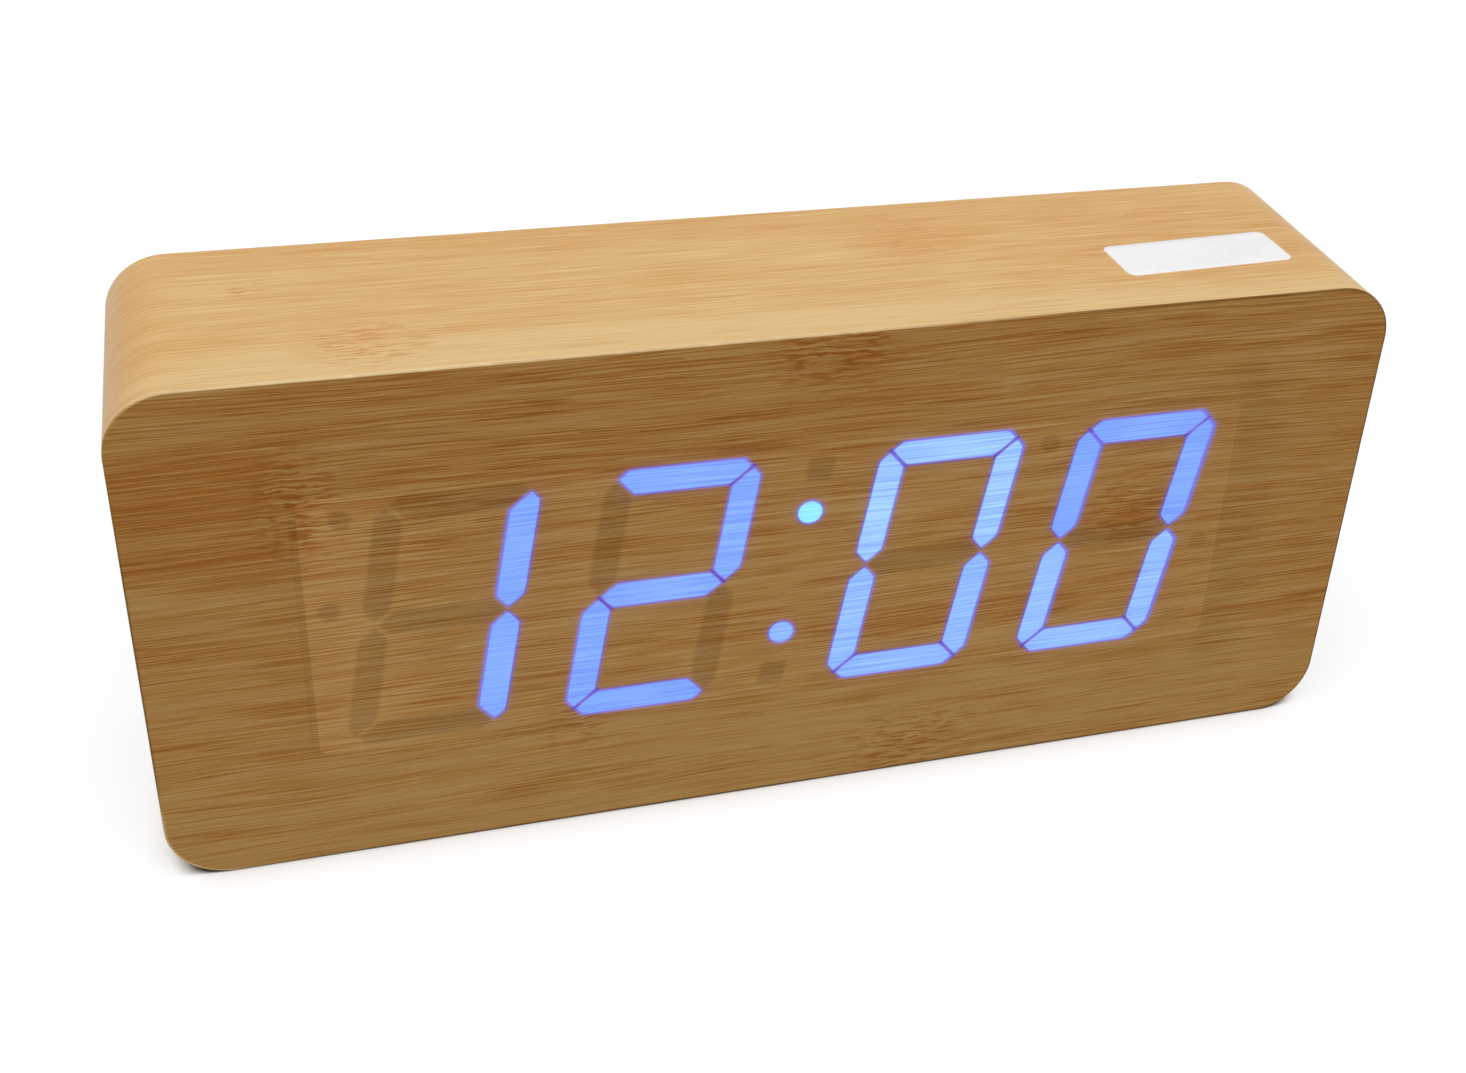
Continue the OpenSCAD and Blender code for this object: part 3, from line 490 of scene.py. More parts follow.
def frontMaterial(name, tones):
    s = glow
    startMaterial(name)
    colour, fibre, surface = woodColour(tones)
    lit, bleed = attribute("lit"), attribute("bleed")
    shade = tint(attribute("pane"), s["border"], s["pane"])
    for key in ("seam", "ghost"):
        shade = tint(attribute(key), shade, s[key], "MULTIPLY")
    colour = tint(1.0, colour, shade, "MULTIPLY")
    colour = tint(attribute("gap"), colour, s["gap"])
    colour = tint(calc("MAXIMUM", lit, bleed), colour, s["behind"])
    core = ramp(attribute("hue"), ((0.0, s["blue"]), (1.0, s["cyan"]), (s["brightLevel"], s["bright"])))
    streak = rescale(fibre, *softRange, *s["streak"], "LINEAR")
    streak = makeNode("CombineColor", {0: streak, 1: streak, 2: 1.0}).outputs[0]
    core = tint(1.0, core, streak, "MULTIPLY")
    edgeLight = tint(bleed, tint(lit, s["dark"], s["deep"]), s["bleed"])
    light = tint(rescale(lit, *s["coreFade"]), edgeLight, core)
    return finished(colour=colour, glow=light, glowLevel=1.0, **surface)


# Display drawing: slanted seven-bar digits, a colon and small marks
display = {
    "middle": ((housingLow.x + housingHigh.x) / 2, (housingLow.z + housingHigh.z) / 2),
    "shown": "1200",
    "bars": {"0": "abcdef", "1": "bc", "2": "abged"},
    "digitWide": 25.7,
    "digitHigh": 47.6,
    "stroke": 4.8,
    "slant": 9.5,
    "gap": 0.23,
    "tipGap": 0.27,
    "cornerCut": 3.4,
    "places": (-58.4, -22.8, 22.8, 58.4),
    "hues": ((0.05, 0.08), (0.09, 0.0), (0.53, 0.30), (0.03, 0.36)),  # upper and lower half
    "hueSpread": 0.16,
    "colonHues": (1.0, 0.30),
    "colonRise": 11.9,
    "colonSize": 4.6,
    "colonSteps": 28,
    "roundMarks": ((-76.15, 20.2, 1.0), (-76.15, 3.5, 1.0), (40.6, 20.2, 1.0), (76.15, -3.5, 0.7)),
    "roundSize": 3.8,
    "roundSteps": 24,
    "squareMarks": ((0, 20.2, 1.0), (0, -20.2, 1.0), (76.15, -20.2, 0.4)),
    "squareSize": 4.8,
    # Rounding of the corners, and the mesh lines round each shape
    "litRound": 0.13,
    "ghostRound": 0.24,
    "litLevels": (0.9, 0.5, 0.25, 0.0, -0.2, -0.45, -0.9),
    "ghostLevels": (0.2, -0.15, -0.5),
    "markParts": 1.6,
    # How the light spreads in the film: distances from a shape's edge
    "reach": 4.0,
    "spill": (-0.07, 0.12),
    "hazeShare": 0.03,
    "hazeReach": 1.2,
    "ghostFade": (-0.45, 0.15),
    "gapShare": 0.9,
    "gapFade": (0.25, 0.7),
    "gapStart": (-0.1, 0.15),
    "bleedShare": 0.75,
    "bleed": (-0.05, 0.1),
    "bleedSpread": 0.007,
    "bleedMiddle": (-14.0, 45.5),
}


def barOutlines(s):
    hw, hh, t = s["digitWide"] / 2, s["digitHigh"] / 2, s["stroke"]
    k = s["gap"] / math.sqrt(2)
    tip, c = s["tipGap"], s["cornerCut"]
    far, near = (c + k) / 2, (c - k) / 2
    flat = [(far - hw, hh - near), (c - hw, hh), (hw - c, hh), (hw - far, hh - near),
            (hw - t - k, hh - t), (t + k - hw, hh - t)]
    upright = [(near - hw, hh - far), (-hw, hh - c), (-hw, tip + t / 2), (t / 2 - hw, tip),
               (t - hw, tip + t / 2), (t - hw, hh - t - k)]
    middle = [(t / 2 + k - hw, 0), (t + k - hw, t / 2), (hw - t - k, t / 2),
              (hw - t / 2 - k, 0), (hw - t - k, -t / 2), (t + k - hw, -t / 2)]

    def flipped(points, sx, sz):
        return [(x * sx, z * sz) for x, z in points]
    return {"a": flat, "b": flipped(upright, -1, 1), "c": flipped(upright, -1, -1), "d": flipped(flat, 1, -1),
            "e": flipped(upright, 1, -1), "f": upright, "g": middle}


def counterclockwise(points):
    area = sum(p[0] * points[i - 1][1] - points[i - 1][0] * p[1] for i, p in enumerate(points))
    return points if area < 0 else points[::-1]


def displayShapes(s):
    lean = math.tan(math.radians(s["slant"]))
    mx, mz = s["middle"]
    shapes = []

    def placed(points, u, v=0.0):
        return counterclockwise([(mx + u + x + (v + z) * lean, mz + v + z) for x, z in points])

    def keep(points, lit, hue=0.0, upright=False, share=1.0):
        xs, zs = zip(*points)
        middle = (sum(xs) / len(xs), sum(zs) / len(zs))
        shapes.append({
            "points": points, "lit": lit, "hue": hue, "upright": upright, "share": share,
            "sides": sidesOf(points), "box": (min(xs), max(xs), min(zs), max(zs)), "middle": middle,
            "reach": max(math.dist(middle, p) for p in points),
            "shift": [s["bleedSpread"] * (a - b) for a, b in zip(middle, s["bleedMiddle"])]})

    def ring(size, u, v, steps):
        return ringOutline(size, placed([(0, 0)], u, v)[0], steps)

    for digit, u, hues in zip(s["shown"], s["places"], s["hues"]):
        for bar, points in barOutlines(s).items():
            keep(placed(points, u), bar in s["bars"][digit], hues[bar in "cde"], bar in "bcef")
    for side, hue in zip((1, -1), s["colonHues"]):
        keep(ring(s["colonSize"], 0, side * s["colonRise"], s["colonSteps"]), True, hue)
    for u, v, share in s["roundMarks"]:
        keep(ring(s["roundSize"], u, v, s["roundSteps"]), False, share=share)
    half = s["squareSize"] / 2
    for u, v, share in s["squareMarks"]:
        keep(placed([(-half, -half), (half, -half), (half, half), (-half, half)], u, v), False, share=share)
    return shapes


def shapeDistance(s, shape, x, z):
    steps = [nx * x + nz * z - c for nx, nz, c in shape["sides"]]
    most = max(steps)
    if len(steps) >= s["roundSteps"]:
        return most
    soft = s["litRound"] if shape["lit"] or len(steps) == 4 else s["ghostRound"]
    return most + soft * math.log(sum(math.exp((step - most) / soft) for step in steps))


def falloff(away, start, spread):
    return 1 / (1 + math.exp((away - start) / spread))


def markNumbers(s, shapes, x, z):
    reach = s["reach"]
    lit, second, ghost, hue, bleed = reach, reach, 0.0, 0.0, reach
    upright, tips = False, False
    for shape in shapes:
        x0, x1, z0, z1 = shape["box"]
        if x < x0 - reach or x > x1 + reach or z < z0 - reach or z > z1 + reach:
            continue
        away = shapeDistance(s, shape, x, z)
        if not shape["lit"]:
            ghost = max(ghost, shape["share"] * (1 - smooth(away, *s["ghostFade"])))
            continue
        dx, dz = shape["shift"]
        bleed = min(bleed, shapeDistance(s, shape, x - dx, z - dz))
        if away < lit:
            along = math.dist(shape["middle"], (x, z)) / shape["reach"]
            lit, second, hue = away, lit, shape["hue"] + s["hueSpread"] * (0.5 - along)
            upright, tips = shape["upright"], upright and shape["upright"]
        elif away < second:
            second, tips = away, upright and shape["upright"]
    haze = s["hazeShare"] * math.exp(-max(lit, 0) / s["hazeReach"])
    gap = s["gapShare"] * (1 - smooth(second, *s["gapFade"])) * smooth(lit, *s["gapStart"])
    return {"lit": min(1.0, falloff(lit, *s["spill"]) + haze), "gap": 0.0 if tips else gap,
            "hue": max(0.0, hue), "ghost": ghost, "bleed": s["bleedShare"] * falloff(bleed, *s["bleed"])}


# Knots, darker bands and paler ones on each film, some bands being painted shade and some pales painted
# light, as marked: middle along, middle across, half sizes, share
frontMarks = {
    "knots": ((-79.5, 69.5, 8, 13, 1.0), (4, 88, 13, 8, 1.0), (60, 51, 11, 10, 0.7),
              (23, 6, 15, 9, 0.75), (-38, 21, 6, 8, 0.7)),
    # The first band, darker along the top of the front, is painted shade
    "bands": ((0, 92, 160, 18, 0.2), (104, 46, 20, 60, 0.18), (-95, 74, 18, 8, 0.9),
              (-95, 62, 18, 4, 0.7), (-20, 74, 60, 7, 0.3), (60, 51, 14, 5, 0.25),
              (-40, 14, 40, 3, 0.2), (30, 35, 40, 5, 0.25)),
    # The first pale, lighter along the bottom of the front, is painted light bounced from the floor
    "pales": ((0, 6, 150, 20, 0.36), (-40, 46, 40, 8, 0.2), (80, 14, 40, 8, 0.3), (10, 10, 60, 5, 0.5)),
}
topMarks = {
    "knots": ((-66.3, -13, 11, 9, 1.0), (-82.7, 7.5, 4, 3.2, 0.95), (27, 10, 8, 11, 0.9)),
    # The bands at (85, 2) and (0, 22), darker towards the right and the rear, and at (-104, 0), darker on the
    # left bend, are painted shade
    "bands": ((30, 9, 16, 9, 0.6), (-20, 0, 40, 3, 0.3), (40, 15, 50, 5, 0.4), (85, 2, 50, 24, 0.4),
              (0, 22, 120, 10, 0.35), (-104, 0, 12, 60, 0.25)),
    # Both pales, lighter along the top's front edge, are painted light
    "pales": ((-30, -20, 90, 8, 0.8), (60, -20, 50, 6, 0.5)),
}
leftMarks = {
    "knots": ((7, 48, 6, 8, 0.9),),
    "bands": ((0, 86, 60, 22, 0.5), (-13, 30, 6, 40, 0.4), (7, 48, 9, 14, 0.4)),
    "pales": ((16, 24, 6, 40, 0.5),),
}
rightMarks = {
    "knots": ((-9, 34, 6, 8, 0.9), (13, 68, 4, 5, 0.7)),
    "bands": ((14, 40, 7, 50, 0.4), (-9, 34, 9, 14, 0.4)),
    "pales": ((-2, 60, 6, 40, 0.5),),
}
rearMarks = {
    "knots": ((70, 86, 5, 4, 0.8), (-98, 40, 4, 8, 0.7), (-30, 5, 6, 4, 0.6)),
    "bands": ((-60, 87, 40, 4, 0.4), (40, 4, 50, 3, 0.4), (99, 60, 5, 14, 0.4)),
    "pales": ((20, 87, 40, 4, 0.4), (-99, 60, 5, 14, 0.4)),
}
markEdge = (0.35, 1.25)  # where a mark fades, in half sizes
wearAndHighlight = {"pace": 0.35, "fade": (0.05, 0.55)}


def patchLevel(patches, x, z):
    level = 0.0
    for px, pz, halfX, halfZ, share in patches:
        away = math.hypot((x - px) / halfX, (z - pz) / halfZ)
        level = max(level, share * (1 - smooth(away, *markEdge)))
    return level


def bandLevel(marks, x, z):
    return patchLevel(marks["bands"], x, z) - patchLevel(marks["pales"], x, z)


# Noise along an edge: it bites the chips and breaks up the painted highlights
def wearAndHighlightAt(along, seed, least=0.0):
    return least + (1 - least) * smooth(noise.noise((along * wearAndHighlight["pace"], seed, 0.0)), *wearAndHighlight["fade"])


# Front film: a flat face with a small rounded, chipped edge
frontPiece = {
    "edge": 0.24,
    "hold": 0.24,
    "edgeSteps": 5,
    "arcSteps": 16,
    "sideParts": (190, 70),
    "grid": 2.5,
    "gridSteps": 8,
    "smoothAngle": 40.0,
    "chip": 0.03,
    "chipSeed": 3.0,
    "highlightSeed": 5.0,
    "highlightLeast": 0.7,
    # Places round the edge of a painted highlight (the top arris, the lower left arc) and of painted shade
    # (partly the film's dark cut edge), and how far over the edge each kind reaches
    "wornPlaces": ((-70, 91, 40, 6, 1.0), (-20, 91, 60, 4, 0.8)),
    "wornFade": (0.7, 1.1),
    # A painted highlight on the lower left arc, where the edge faces the floor
    "arcPlaces": ((-101, 3, 12, 14, 1.0),),
    "arcFade": (0.95, 1.2),
    # Painted shade on the side and bottom edges and the top right arris, partly the film's dark cut edge
    "cutPlaces": ((105, 45, 4, 70, 0.9), (75, 91, 50, 4, 0.6), (10, 0, 110, 3, 0.9), (-105, 42, 3, 36, 0.6)),
    "cutFade": (0.9, 1.15),
}

# Outline of the display's housing, seen faintly through the film. Distances are from that outline
panePiece = {
    "radius": 1.0,
    "arcSteps": 6,
    "lines": (1.3, 1.1, 0.9, 0.35, 0.15, -0.05, -0.3, -0.6),
    "edgeFade": (-0.05, 0.35),
    "leftFade": (2, 24),
    "fadeShare": 0.72,
    "rimShare": 0.45,
    "rimPlace": -0.1,
    "rimHalf": 0.3,
    "seamLines": (0.15, 1.1),
    "seamHalf": 0.2,
    "seamShare": 0.35,
    "seamFade": (0, 2),
    "shade": 0.5,
    "shadeSide": (-1, 0.3),
    "shadeStart": (-0.05, 0.2),
    "shadeEnd": (4, 14),
}


def quarterTurn(steps):
    return [math.pi / 2 * k / steps for k in range(steps + 1)]


def edgeRings(s):
    steps = (s["arcSteps"], s["sideParts"])
    rings = [[(x, case["frontBack"], z) for x, z in caseOutline(0, *steps)]]
    for a in quarterTurn(s["edgeSteps"]):
        y = case["front"] + s["edge"] * (1 - math.sin(a))
        ring = []
        for i, (x, z) in enumerate(caseOutline(s["edge"] * (1 - math.cos(a)), *steps)):
            bite = s["chip"] * math.sin(2 * a) * wearAndHighlightAt(i, s["chipSeed"])
            toMiddle = Vector((-x, case["middle"][1] - z)).normalized() * bite
            ring.append((x + toMiddle.x, y, z + toMiddle.y))
        rings.append(ring)
    inner = caseOutline(s["edge"] + s["hold"], *steps)
    return rings + [[(x, case["front"], z) for x, z in inner]]


# Painted shade at the edge, partly the film's dark cut edge, and a painted highlight, broken up along the
# edge
def edgeShadeAndHighlight(s, i, x, z, share):
    worn, arcHighlight, cut = (patchLevel(s[key + "Places"], x, z) * (1 - smooth(share, *s[key + "Fade"]))
                          for key in ("worn", "arc", "cut"))
    return cut, max(worn, arcHighlight) * wearAndHighlightAt(i, s["highlightSeed"], s["highlightLeast"])


def paneNumbers(s, sides, x, z):
    away = outside(sides, x, z)
    fromLeft, fromRight = x - housingLow.x, x - housingHigh.x
    fade = smooth(fromLeft, *s["leftFade"])
    rim = s["rimShare"] * fade * (1 - min(1.0, abs(away - s["rimPlace"]) / s["rimHalf"]))
    first, last = s["seamLines"]
    seams = [1 - abs(away - line) / s["seamHalf"] for line in s["seamLines"]]
    seams.append(s["seamShare"] if first < away < last else 0.0)
    seam = (1 - smooth(fromLeft, *s["seamFade"])) * max(seams)
    shade = s["shade"] * smooth(fromRight, *s["shadeSide"])
    shade *= smooth(away, *s["shadeStart"]) * (1 - smooth(away, *s["shadeEnd"]))
    level = (1 - smooth(away, *s["edgeFade"])) * (1 - s["fadeShare"] * fade) + rim
    return {"pane": level, "seam": max(seam, shade)}


def makeFrontFilm(s):
    rings = edgeRings(s)
    count = len(rings[0])
    blank = dict.fromkeys(("lit", "gap", "hue", "ghost", "bleed", "pane", "seam"), 0.0)
    verts, grain, extra = [], [], []
    faces = [tuple(range(count))]

    def put(x, y, z, numbers, cut=0.0, worn=0.0):
        verts.append((x, y, z))
        grain.append((x, z, 0.0))
        knot, band = patchLevel(frontMarks["knots"], x, z), bandLevel(frontMarks, x, z)
        extra.append({**numbers, "knot": knot, "band": band, "cut": cut, "worn": worn})

    for k, ring in enumerate(rings):
        for i, (x, y, z) in enumerate(ring):
            put(x, y, z, blank, *edgeShadeAndHighlight(s, i, x, z, max(0, k - 1) / s["edgeSteps"]))
        if k:
            faces += loopFaces((k - 1) * count, k * count, count)
    faceBase = len(verts) - count

    shapes = displayShapes(display)
    wide, high = housingHigh.x - housingLow.x, housingHigh.z - housingLow.z
    pane = roundedOutline(wide, high, panePiece["radius"], display["middle"], panePiece["arcSteps"])
    paneSides = sidesOf(pane)
    loops = [splitLoop(grown(pane, step), display["markParts"]) for step in panePiece["lines"]]
    for shape in shapes:
        levels = display["litLevels"] if shape["lit"] else display["ghostLevels"]
        loops += [splitLoop(grown(shape["points"], step), display["markParts"]) for step in levels]
    inner = sidesOf(caseOutline(s["edge"] + s["hold"] + s["grid"] / 2, s["gridSteps"]))
    grid = gridInside(inner, (frontLow.x, frontLow.z), (case["wide"], case["high"]), s["grid"], 0.5)
    points, triangles, origins = filled([(x, z) for x, y, z in rings[-1]], grid, loops)
    index = []
    for (x, z), origin in zip(points, origins):
        fixed = [i for i in origin if i < count]
        index.append(faceBase + fixed[0] if fixed else len(verts))
        if not fixed:
            numbers = {**markNumbers(display, shapes, x, z), **paneNumbers(panePiece, paneSides, x, z)}
            put(x, case["front"], z, numbers)
    faces += [tuple(index[i] for i in triangle) for triangle in triangles]
    piece = makeObject("frontFilm", verts, faces, s["smoothAngle"])
    keepGrain(piece, grain)
    keepNumbers(piece, **{name: [numbers[name] for numbers in extra] for name in extra[0]})
    return piece


frontFilm = makeFrontFilm(frontPiece)
settle(frontFilm, frontMaterial("frontFilm", shadedFrontTones), "case", "front_film", "front_film")
print("front film made with", len(frontFilm.data.vertices), "points")


# Wrapped film: one strip round the case from the seam on the underside, its grain along the strip
wrapPiece = {
    "seamX": -84.0,
    "seamGap": 0.3,
    "stride": 2.0,
    "arcSteps": 16,
    "rows": 24,
    "hold": 0.3,
    "smoothAngle": 40.0,
    "grainPlace": 20.0,
    "topFade": (-6, -1),
    "wrapHighlightSeed": 8.0,
    "wrapHighlightLeast": 0.45,
}


def wrapPath(s, inset):
    half, corner = case["wide"] / 2 - case["corner"], case["corner"]
    low, high = frontLow.z + corner, frontHigh.z - corner
    points = [(s["seamX"] + s["seamGap"] / 2, frontLow.z + inset)]
    for middle, start in (((half, low), -90), ((half, high), 0), ((-half, high), 90), ((-half, low), 180)):
        points += arc(middle, corner - inset, start, s["arcSteps"])
    points.append((s["seamX"] - s["seamGap"] / 2, frontLow.z + inset))
    path = [place for p, q in zip(points, points[1:]) for place in split(p, q, s["stride"])]
    return path + [points[-1]]


def makeWrapFilm(s):
    outer, inner = wrapPath(s, 0.0), wrapPath(s, case["film"])
    count = len(outer)
    near, far = case["frontBack"], case["rearFront"]
    rows = [near + (far - near) * j / s["rows"] for j in range(s["rows"] + 1)]
    rows = [near, near + s["hold"], *rows[1:-1], far - s["hold"], far]
    alongs = [0.0]
    for p, q in zip(outer, outer[1:]):
        alongs.append(alongs[-1] + math.dist(p, q))
    verts, faces, grain, knots, bands, worn = [], [], [], [], [], []
    for x, y, z, along in [(x, y, z, along) for ring in (outer, inner) for y in rows
                           for (x, z), along in zip(ring, alongs)]:
        verts.append((x, y, z))
        grain.append((along, y, s["grainPlace"]))
        onTop = smooth(z - frontHigh.z, *s["topFade"])
        onSide = smooth(abs(x), case["wide"] / 2 - case["corner"], case["wide"] / 2)
        side = rightMarks if x > 0 else leftMarks
        topKnot, sideKnot = patchLevel(topMarks["knots"], x, y), patchLevel(side["knots"], y, z)
        knots.append(max(onTop * topKnot, onSide * sideKnot))
        bands.append(onTop * bandLevel(topMarks, x, y) + onSide * bandLevel(side, y, z))
        # A painted highlight along the top arris, on the strip's front row
        wrapHighlight = patchLevel(frontPiece["wornPlaces"], x, z) * wearAndHighlightAt(along, s["wrapHighlightSeed"], s["wrapHighlightLeast"])
        worn.append(wrapHighlight if y == near else 0.0)
    layer = count * len(rows)
    for row in range(0, layer - count, count):
        faces += loopFaces(row, row + count, count, False)
        faces += loopFaces(layer + row + count, layer + row, count, False)
        for end in (row, row + count - 1):
            faces.append((end, end + count, layer + end + count, layer + end))
    for row in (0, layer - count):
        faces += loopFaces(row, layer + row, count, False)
    piece = makeObject("wrapFilm", verts, faces, s["smoothAngle"])
    keepGrain(piece, grain)
    keepNumbers(piece, knot=knots, band=bands, cut=[0.0] * len(verts), worn=worn)
    return piece


settle(makeWrapFilm(wrapPiece), filmMaterial("wrapFilm", wrapTones), "case", "wood_film", "wrap_film")
print("wrapped film made")


# Frame of film on the rear, round the cover's opening
rearPiece = {
    "edge": 0.28,
    "edgeSteps": 4,
    "arcSteps": 12,
    "sideParts": (95, 35),
    "smoothAngle": 40.0,
    "grainPlace": 40.0,
    "coverGap": 0.3,
    "holeCorner": 3.8,
    "holeEdge": 0.12,
}


def makeRearFilm(s):
    steps = (s["arcSteps"], s["sideParts"])
    holeWide = coverHigh.x - coverLow.x + 2 * s["coverGap"]
    holeHigh = coverHigh.z - coverLow.z + 2 * s["coverGap"]

    def hole(growth):
        wide, high, corner = holeWide + 2 * growth, holeHigh + 2 * growth, s["holeCorner"] + growth
        return roundedOutline(wide, high, corner, case["middle"], *steps)

    rings = [(caseOutline(0, *steps), case["rearFront"])]
    for a in quarterTurn(s["edgeSteps"]):
        inset, depth = s["edge"] * (1 - math.cos(a)), s["edge"] * (1 - math.sin(a))
        rings.append((caseOutline(inset, *steps), case["rear"] - depth))
    for a in quarterTurn(s["edgeSteps"]):
        growth, depth = s["holeEdge"] * (1 - math.sin(a)), s["holeEdge"] * (1 - math.cos(a))
        rings.append((hole(growth), case["rear"] - depth))
    rings.append((hole(0), case["rearFront"]))
    count = len(rings[0][0])
    verts, faces = [], []
    for k, (points, y) in enumerate(rings):
        verts += [(x, y, z) for x, z in points]
        faces += loopFaces(k * count, (k + 1) % len(rings) * count, count)
    piece = makeObject("rearFilm", verts, faces, s["smoothAngle"])
    keepGrain(piece, [(x, z, s["grainPlace"]) for x, y, z in verts])
    keepNumbers(piece, knot=[patchLevel(rearMarks["knots"], x, z) for x, y, z in verts],
                band=[bandLevel(rearMarks, x, z) for x, y, z in verts],
                cut=[0.0] * len(verts), worn=[0.0] * len(verts))
    return piece


settle(makeRearFilm(rearPiece), filmMaterial("rearFilm", wrapTones), "case", "wood_film", "rear_film")
print("rear film made")


# Blank paper label on the top
labelLow, labelHigh = boxOf("top_label")
labelPiece = {
    "wide": 32.0,
    "high": 11.7,
    "corner": 1.6,
    "arcSteps": 8,
    "sideParts": (24, 9),
    "turn": 2.6,
    "grid": 1.3,
    "edge": 0.06,
    "edgeRise": 0.55,
    "smoothAngle": 50.0,
    "ripple": 0.03,
    "rippleScale": (0.25, 0.3),
    "rippleSeed": 7.0,
    "colour": srgb(246, 245, 244),
    "shade": srgb(237, 236, 235),
    "fibres": (900, 2600, 900),
    "clouds": 180,
    "rough": (0.38, 0.55),
    "shine": 0.35,
    "depth": 0.00001,
}


def makeLabel(s):
    middle = (labelLow + labelHigh) / 2
    turn = Matrix.Rotation(math.radians(s["turn"]), 2)
    verts = []

    def inset(step):
        wide, high, corner = s["wide"] - 2 * step, s["high"] - 2 * step, s["corner"] - step
        return roundedOutline(wide, high, corner, (0, 0), s["arcSteps"], s["sideParts"])

    def put(x, y, z):
        place = turn @ Vector((x, y))
        verts.append((middle.x + place.x, middle.y + place.y, z))

    outline = inset(0)
    count = len(outline)
    grid = gridInside(sidesOf(inset(s["grid"] / 2)), (-s["wide"] / 2, -s["high"] / 2),
                      (s["wide"], s["high"]), s["grid"], 0)
    points, triangles, origins = filled(inset(s["edge"]), grid, [])
    for z in (labelLow.z, labelLow.z + s["edgeRise"] * (labelHigh.z - labelLow.z)):
        for x, y in outline:
            put(x, y, z)
    paceX, paceY = s["rippleScale"]
    for x, y in points:
        wave = noise.noise((x * paceX, y * paceY, s["rippleSeed"]))
        put(x, y, labelHigh.z - s["ripple"] * (0.5 + 0.5 * wave))
    faces = [tuple(range(count))] + loopFaces(0, count, count)
    order = {i: 2 * count + k for k, origin in enumerate(origins) for i in origin if i < count}
    faces += [(count + i, count + j, order[j], order[i]) for i, j in loopEdges(0, count)]
    faces += [tuple(2 * count + i for i in triangle) for triangle in triangles]
    return makeObject("labelPaper", verts, faces, s["smoothAngle"])


def paperMaterial(name, s):
    place = startSurface(name)
    fibres = speckle(stretched(place, s["fibres"]), detail=4.0, rough=0.6)
    clouds = speckle(place, s["clouds"], 3.0)
    share = times(rescale(fibres, 0.35, 0.7), rescale(clouds, *softRange))
    return finished(colour=tint(share, s["colour"], s["shade"]), shine=s["shine"],
                    rough=rescale(clouds, *softRange, *s["rough"]), normal=bumped(fibres, s["depth"]))


settle(makeLabel(labelPiece), paperMaterial("labelPaper", labelPiece), "case", "label_paper", "top_label")
print("label made")


# Finishes that several pieces share. Noise scales are per metre, depths in metres
def plasticMaterial(name, s):
    place = startSurface(name)
    cloud = speckle(place, s.get("cloud", 70), 4.0)
    grit = speckle(place, s.get("grit", 2600), 3.0, 0.6)
    share = plus(times(cloud, 0.7), times(grit, 0.3))
    colour = tint(rescale(share, 0.38, 0.62), s["colour"], s["second"])
    if "paint" in s:  # on the raised signs
        painted = times(rescale(attribute("raised"), 0.5, 0.8), 0.9)
        colour = tint(painted, colour, s["paint"])
    return finished(colour=colour, rough=rescale(share, *firmRange, *s["rough"]),
                    normal=bumped(grit, s.get("depth", 0.00003)))


def metalMaterial(name, s):
    place = startSurface(name)
    brushed = speckle(stretched(place, (3000, 3000, 160)), detail=3.0)
    stain = speckle(place, 140, 4.0)
    mixed = plus(times(brushed, 0.5), times(stain, 0.5))
    return finished(colour=tint(rescale(mixed, *firmRange), s["colour"], s["second"]), metal=1.0,
                    rough=rescale(brushed, *softRange, *s["rough"]), normal=bumped(brushed, 0.00001))


def boardMaterial(name, s):
    place = startSurface(name)
    turned = makeNode("Mapping", {"Vector": place, "Rotation": (math.pi / 2, 0, 0)}).outputs[0]
    tracks = makeNode("TexBrick", {"Vector": turned, "Scale": 90.0, "Mortar Size": 0.06}).outputs["Fac"]
    copper = times(tracks, rescale(speckle(place, 90), 0.42, 0.5))  # tracks only in islands
    weave = speckle(place, 1600)
    colour = tint(rescale(weave, *firmRange), s["colour"], s["second"])
    colour = tint(times(copper, 0.7), colour, s["track"])
    return finished(colour=colour, rough=rescale(weave, *softRange, *s["rough"]),
                    normal=bumped(copper, 0.00004))


def fibreMaterial(name, s):
    place = startSurface(name)
    fibres = speckle(stretched(place, (1400, 700, 1400)), detail=5.0, rough=0.65)
    flecks = rescale(speckle(place, 2300), 0.60, 0.72)
    colour = tint(rescale(fibres, *softRange), s["colour"], s["second"])
    colour = tint(times(flecks, 0.5), colour, s["fleck"])
    return finished(colour=colour, rough=rescale(fibres, *softRange, *s["rough"]),
                    normal=bumped(fibres, 0.00012), shine=0.2)


def resinMaterial(name, s):
    cloud = speckle(startSurface(name), 400, 3.0)
    share = rescale(cloud, *firmRange)
    return finished(colour=tint(share, s["colour"], s["second"]), glow=tint(share, s["glow"], s["glowEdge"]),
                    glowLevel=s["level"], rough=rescale(cloud, *softRange, *s["rough"]),
                    normal=bumped(cloud, 0.00002))


# Copies of CAD pieces with rounded edges
rounding = {
    "weld": 1e-6,
    "flatNormal": 0.9999,
    "uprightNormal": 0.2,
    "roomShare": 0.38,
    "holdShare": 1.2,
    "leastSpread": 0.3,
    "mergeAngle": 0.5,
    "bevelAngle": 30.0,
    "smoothAngle": 32.0,
}


# Loops round a group of flat faces, each with the walls that meet it
def boundaryLoops(flat):
    inside = set(flat)
    after, wall = {}, {}
    for face in flat:
        for corner in face.loops:
            others = [f for f in corner.edge.link_faces if f not in inside]
            if others:
                after[corner.vert] = corner.link_loop_next.vert
                wall[corner.vert] = others[0]
    loops = []
    while after:
        vert = next(iter(after))
        loop = []
        while vert in after:
            loop.append(vert)
            vert = after.pop(vert)
        loops.append((loop, [wall[v] for v in loop]))
    return loops


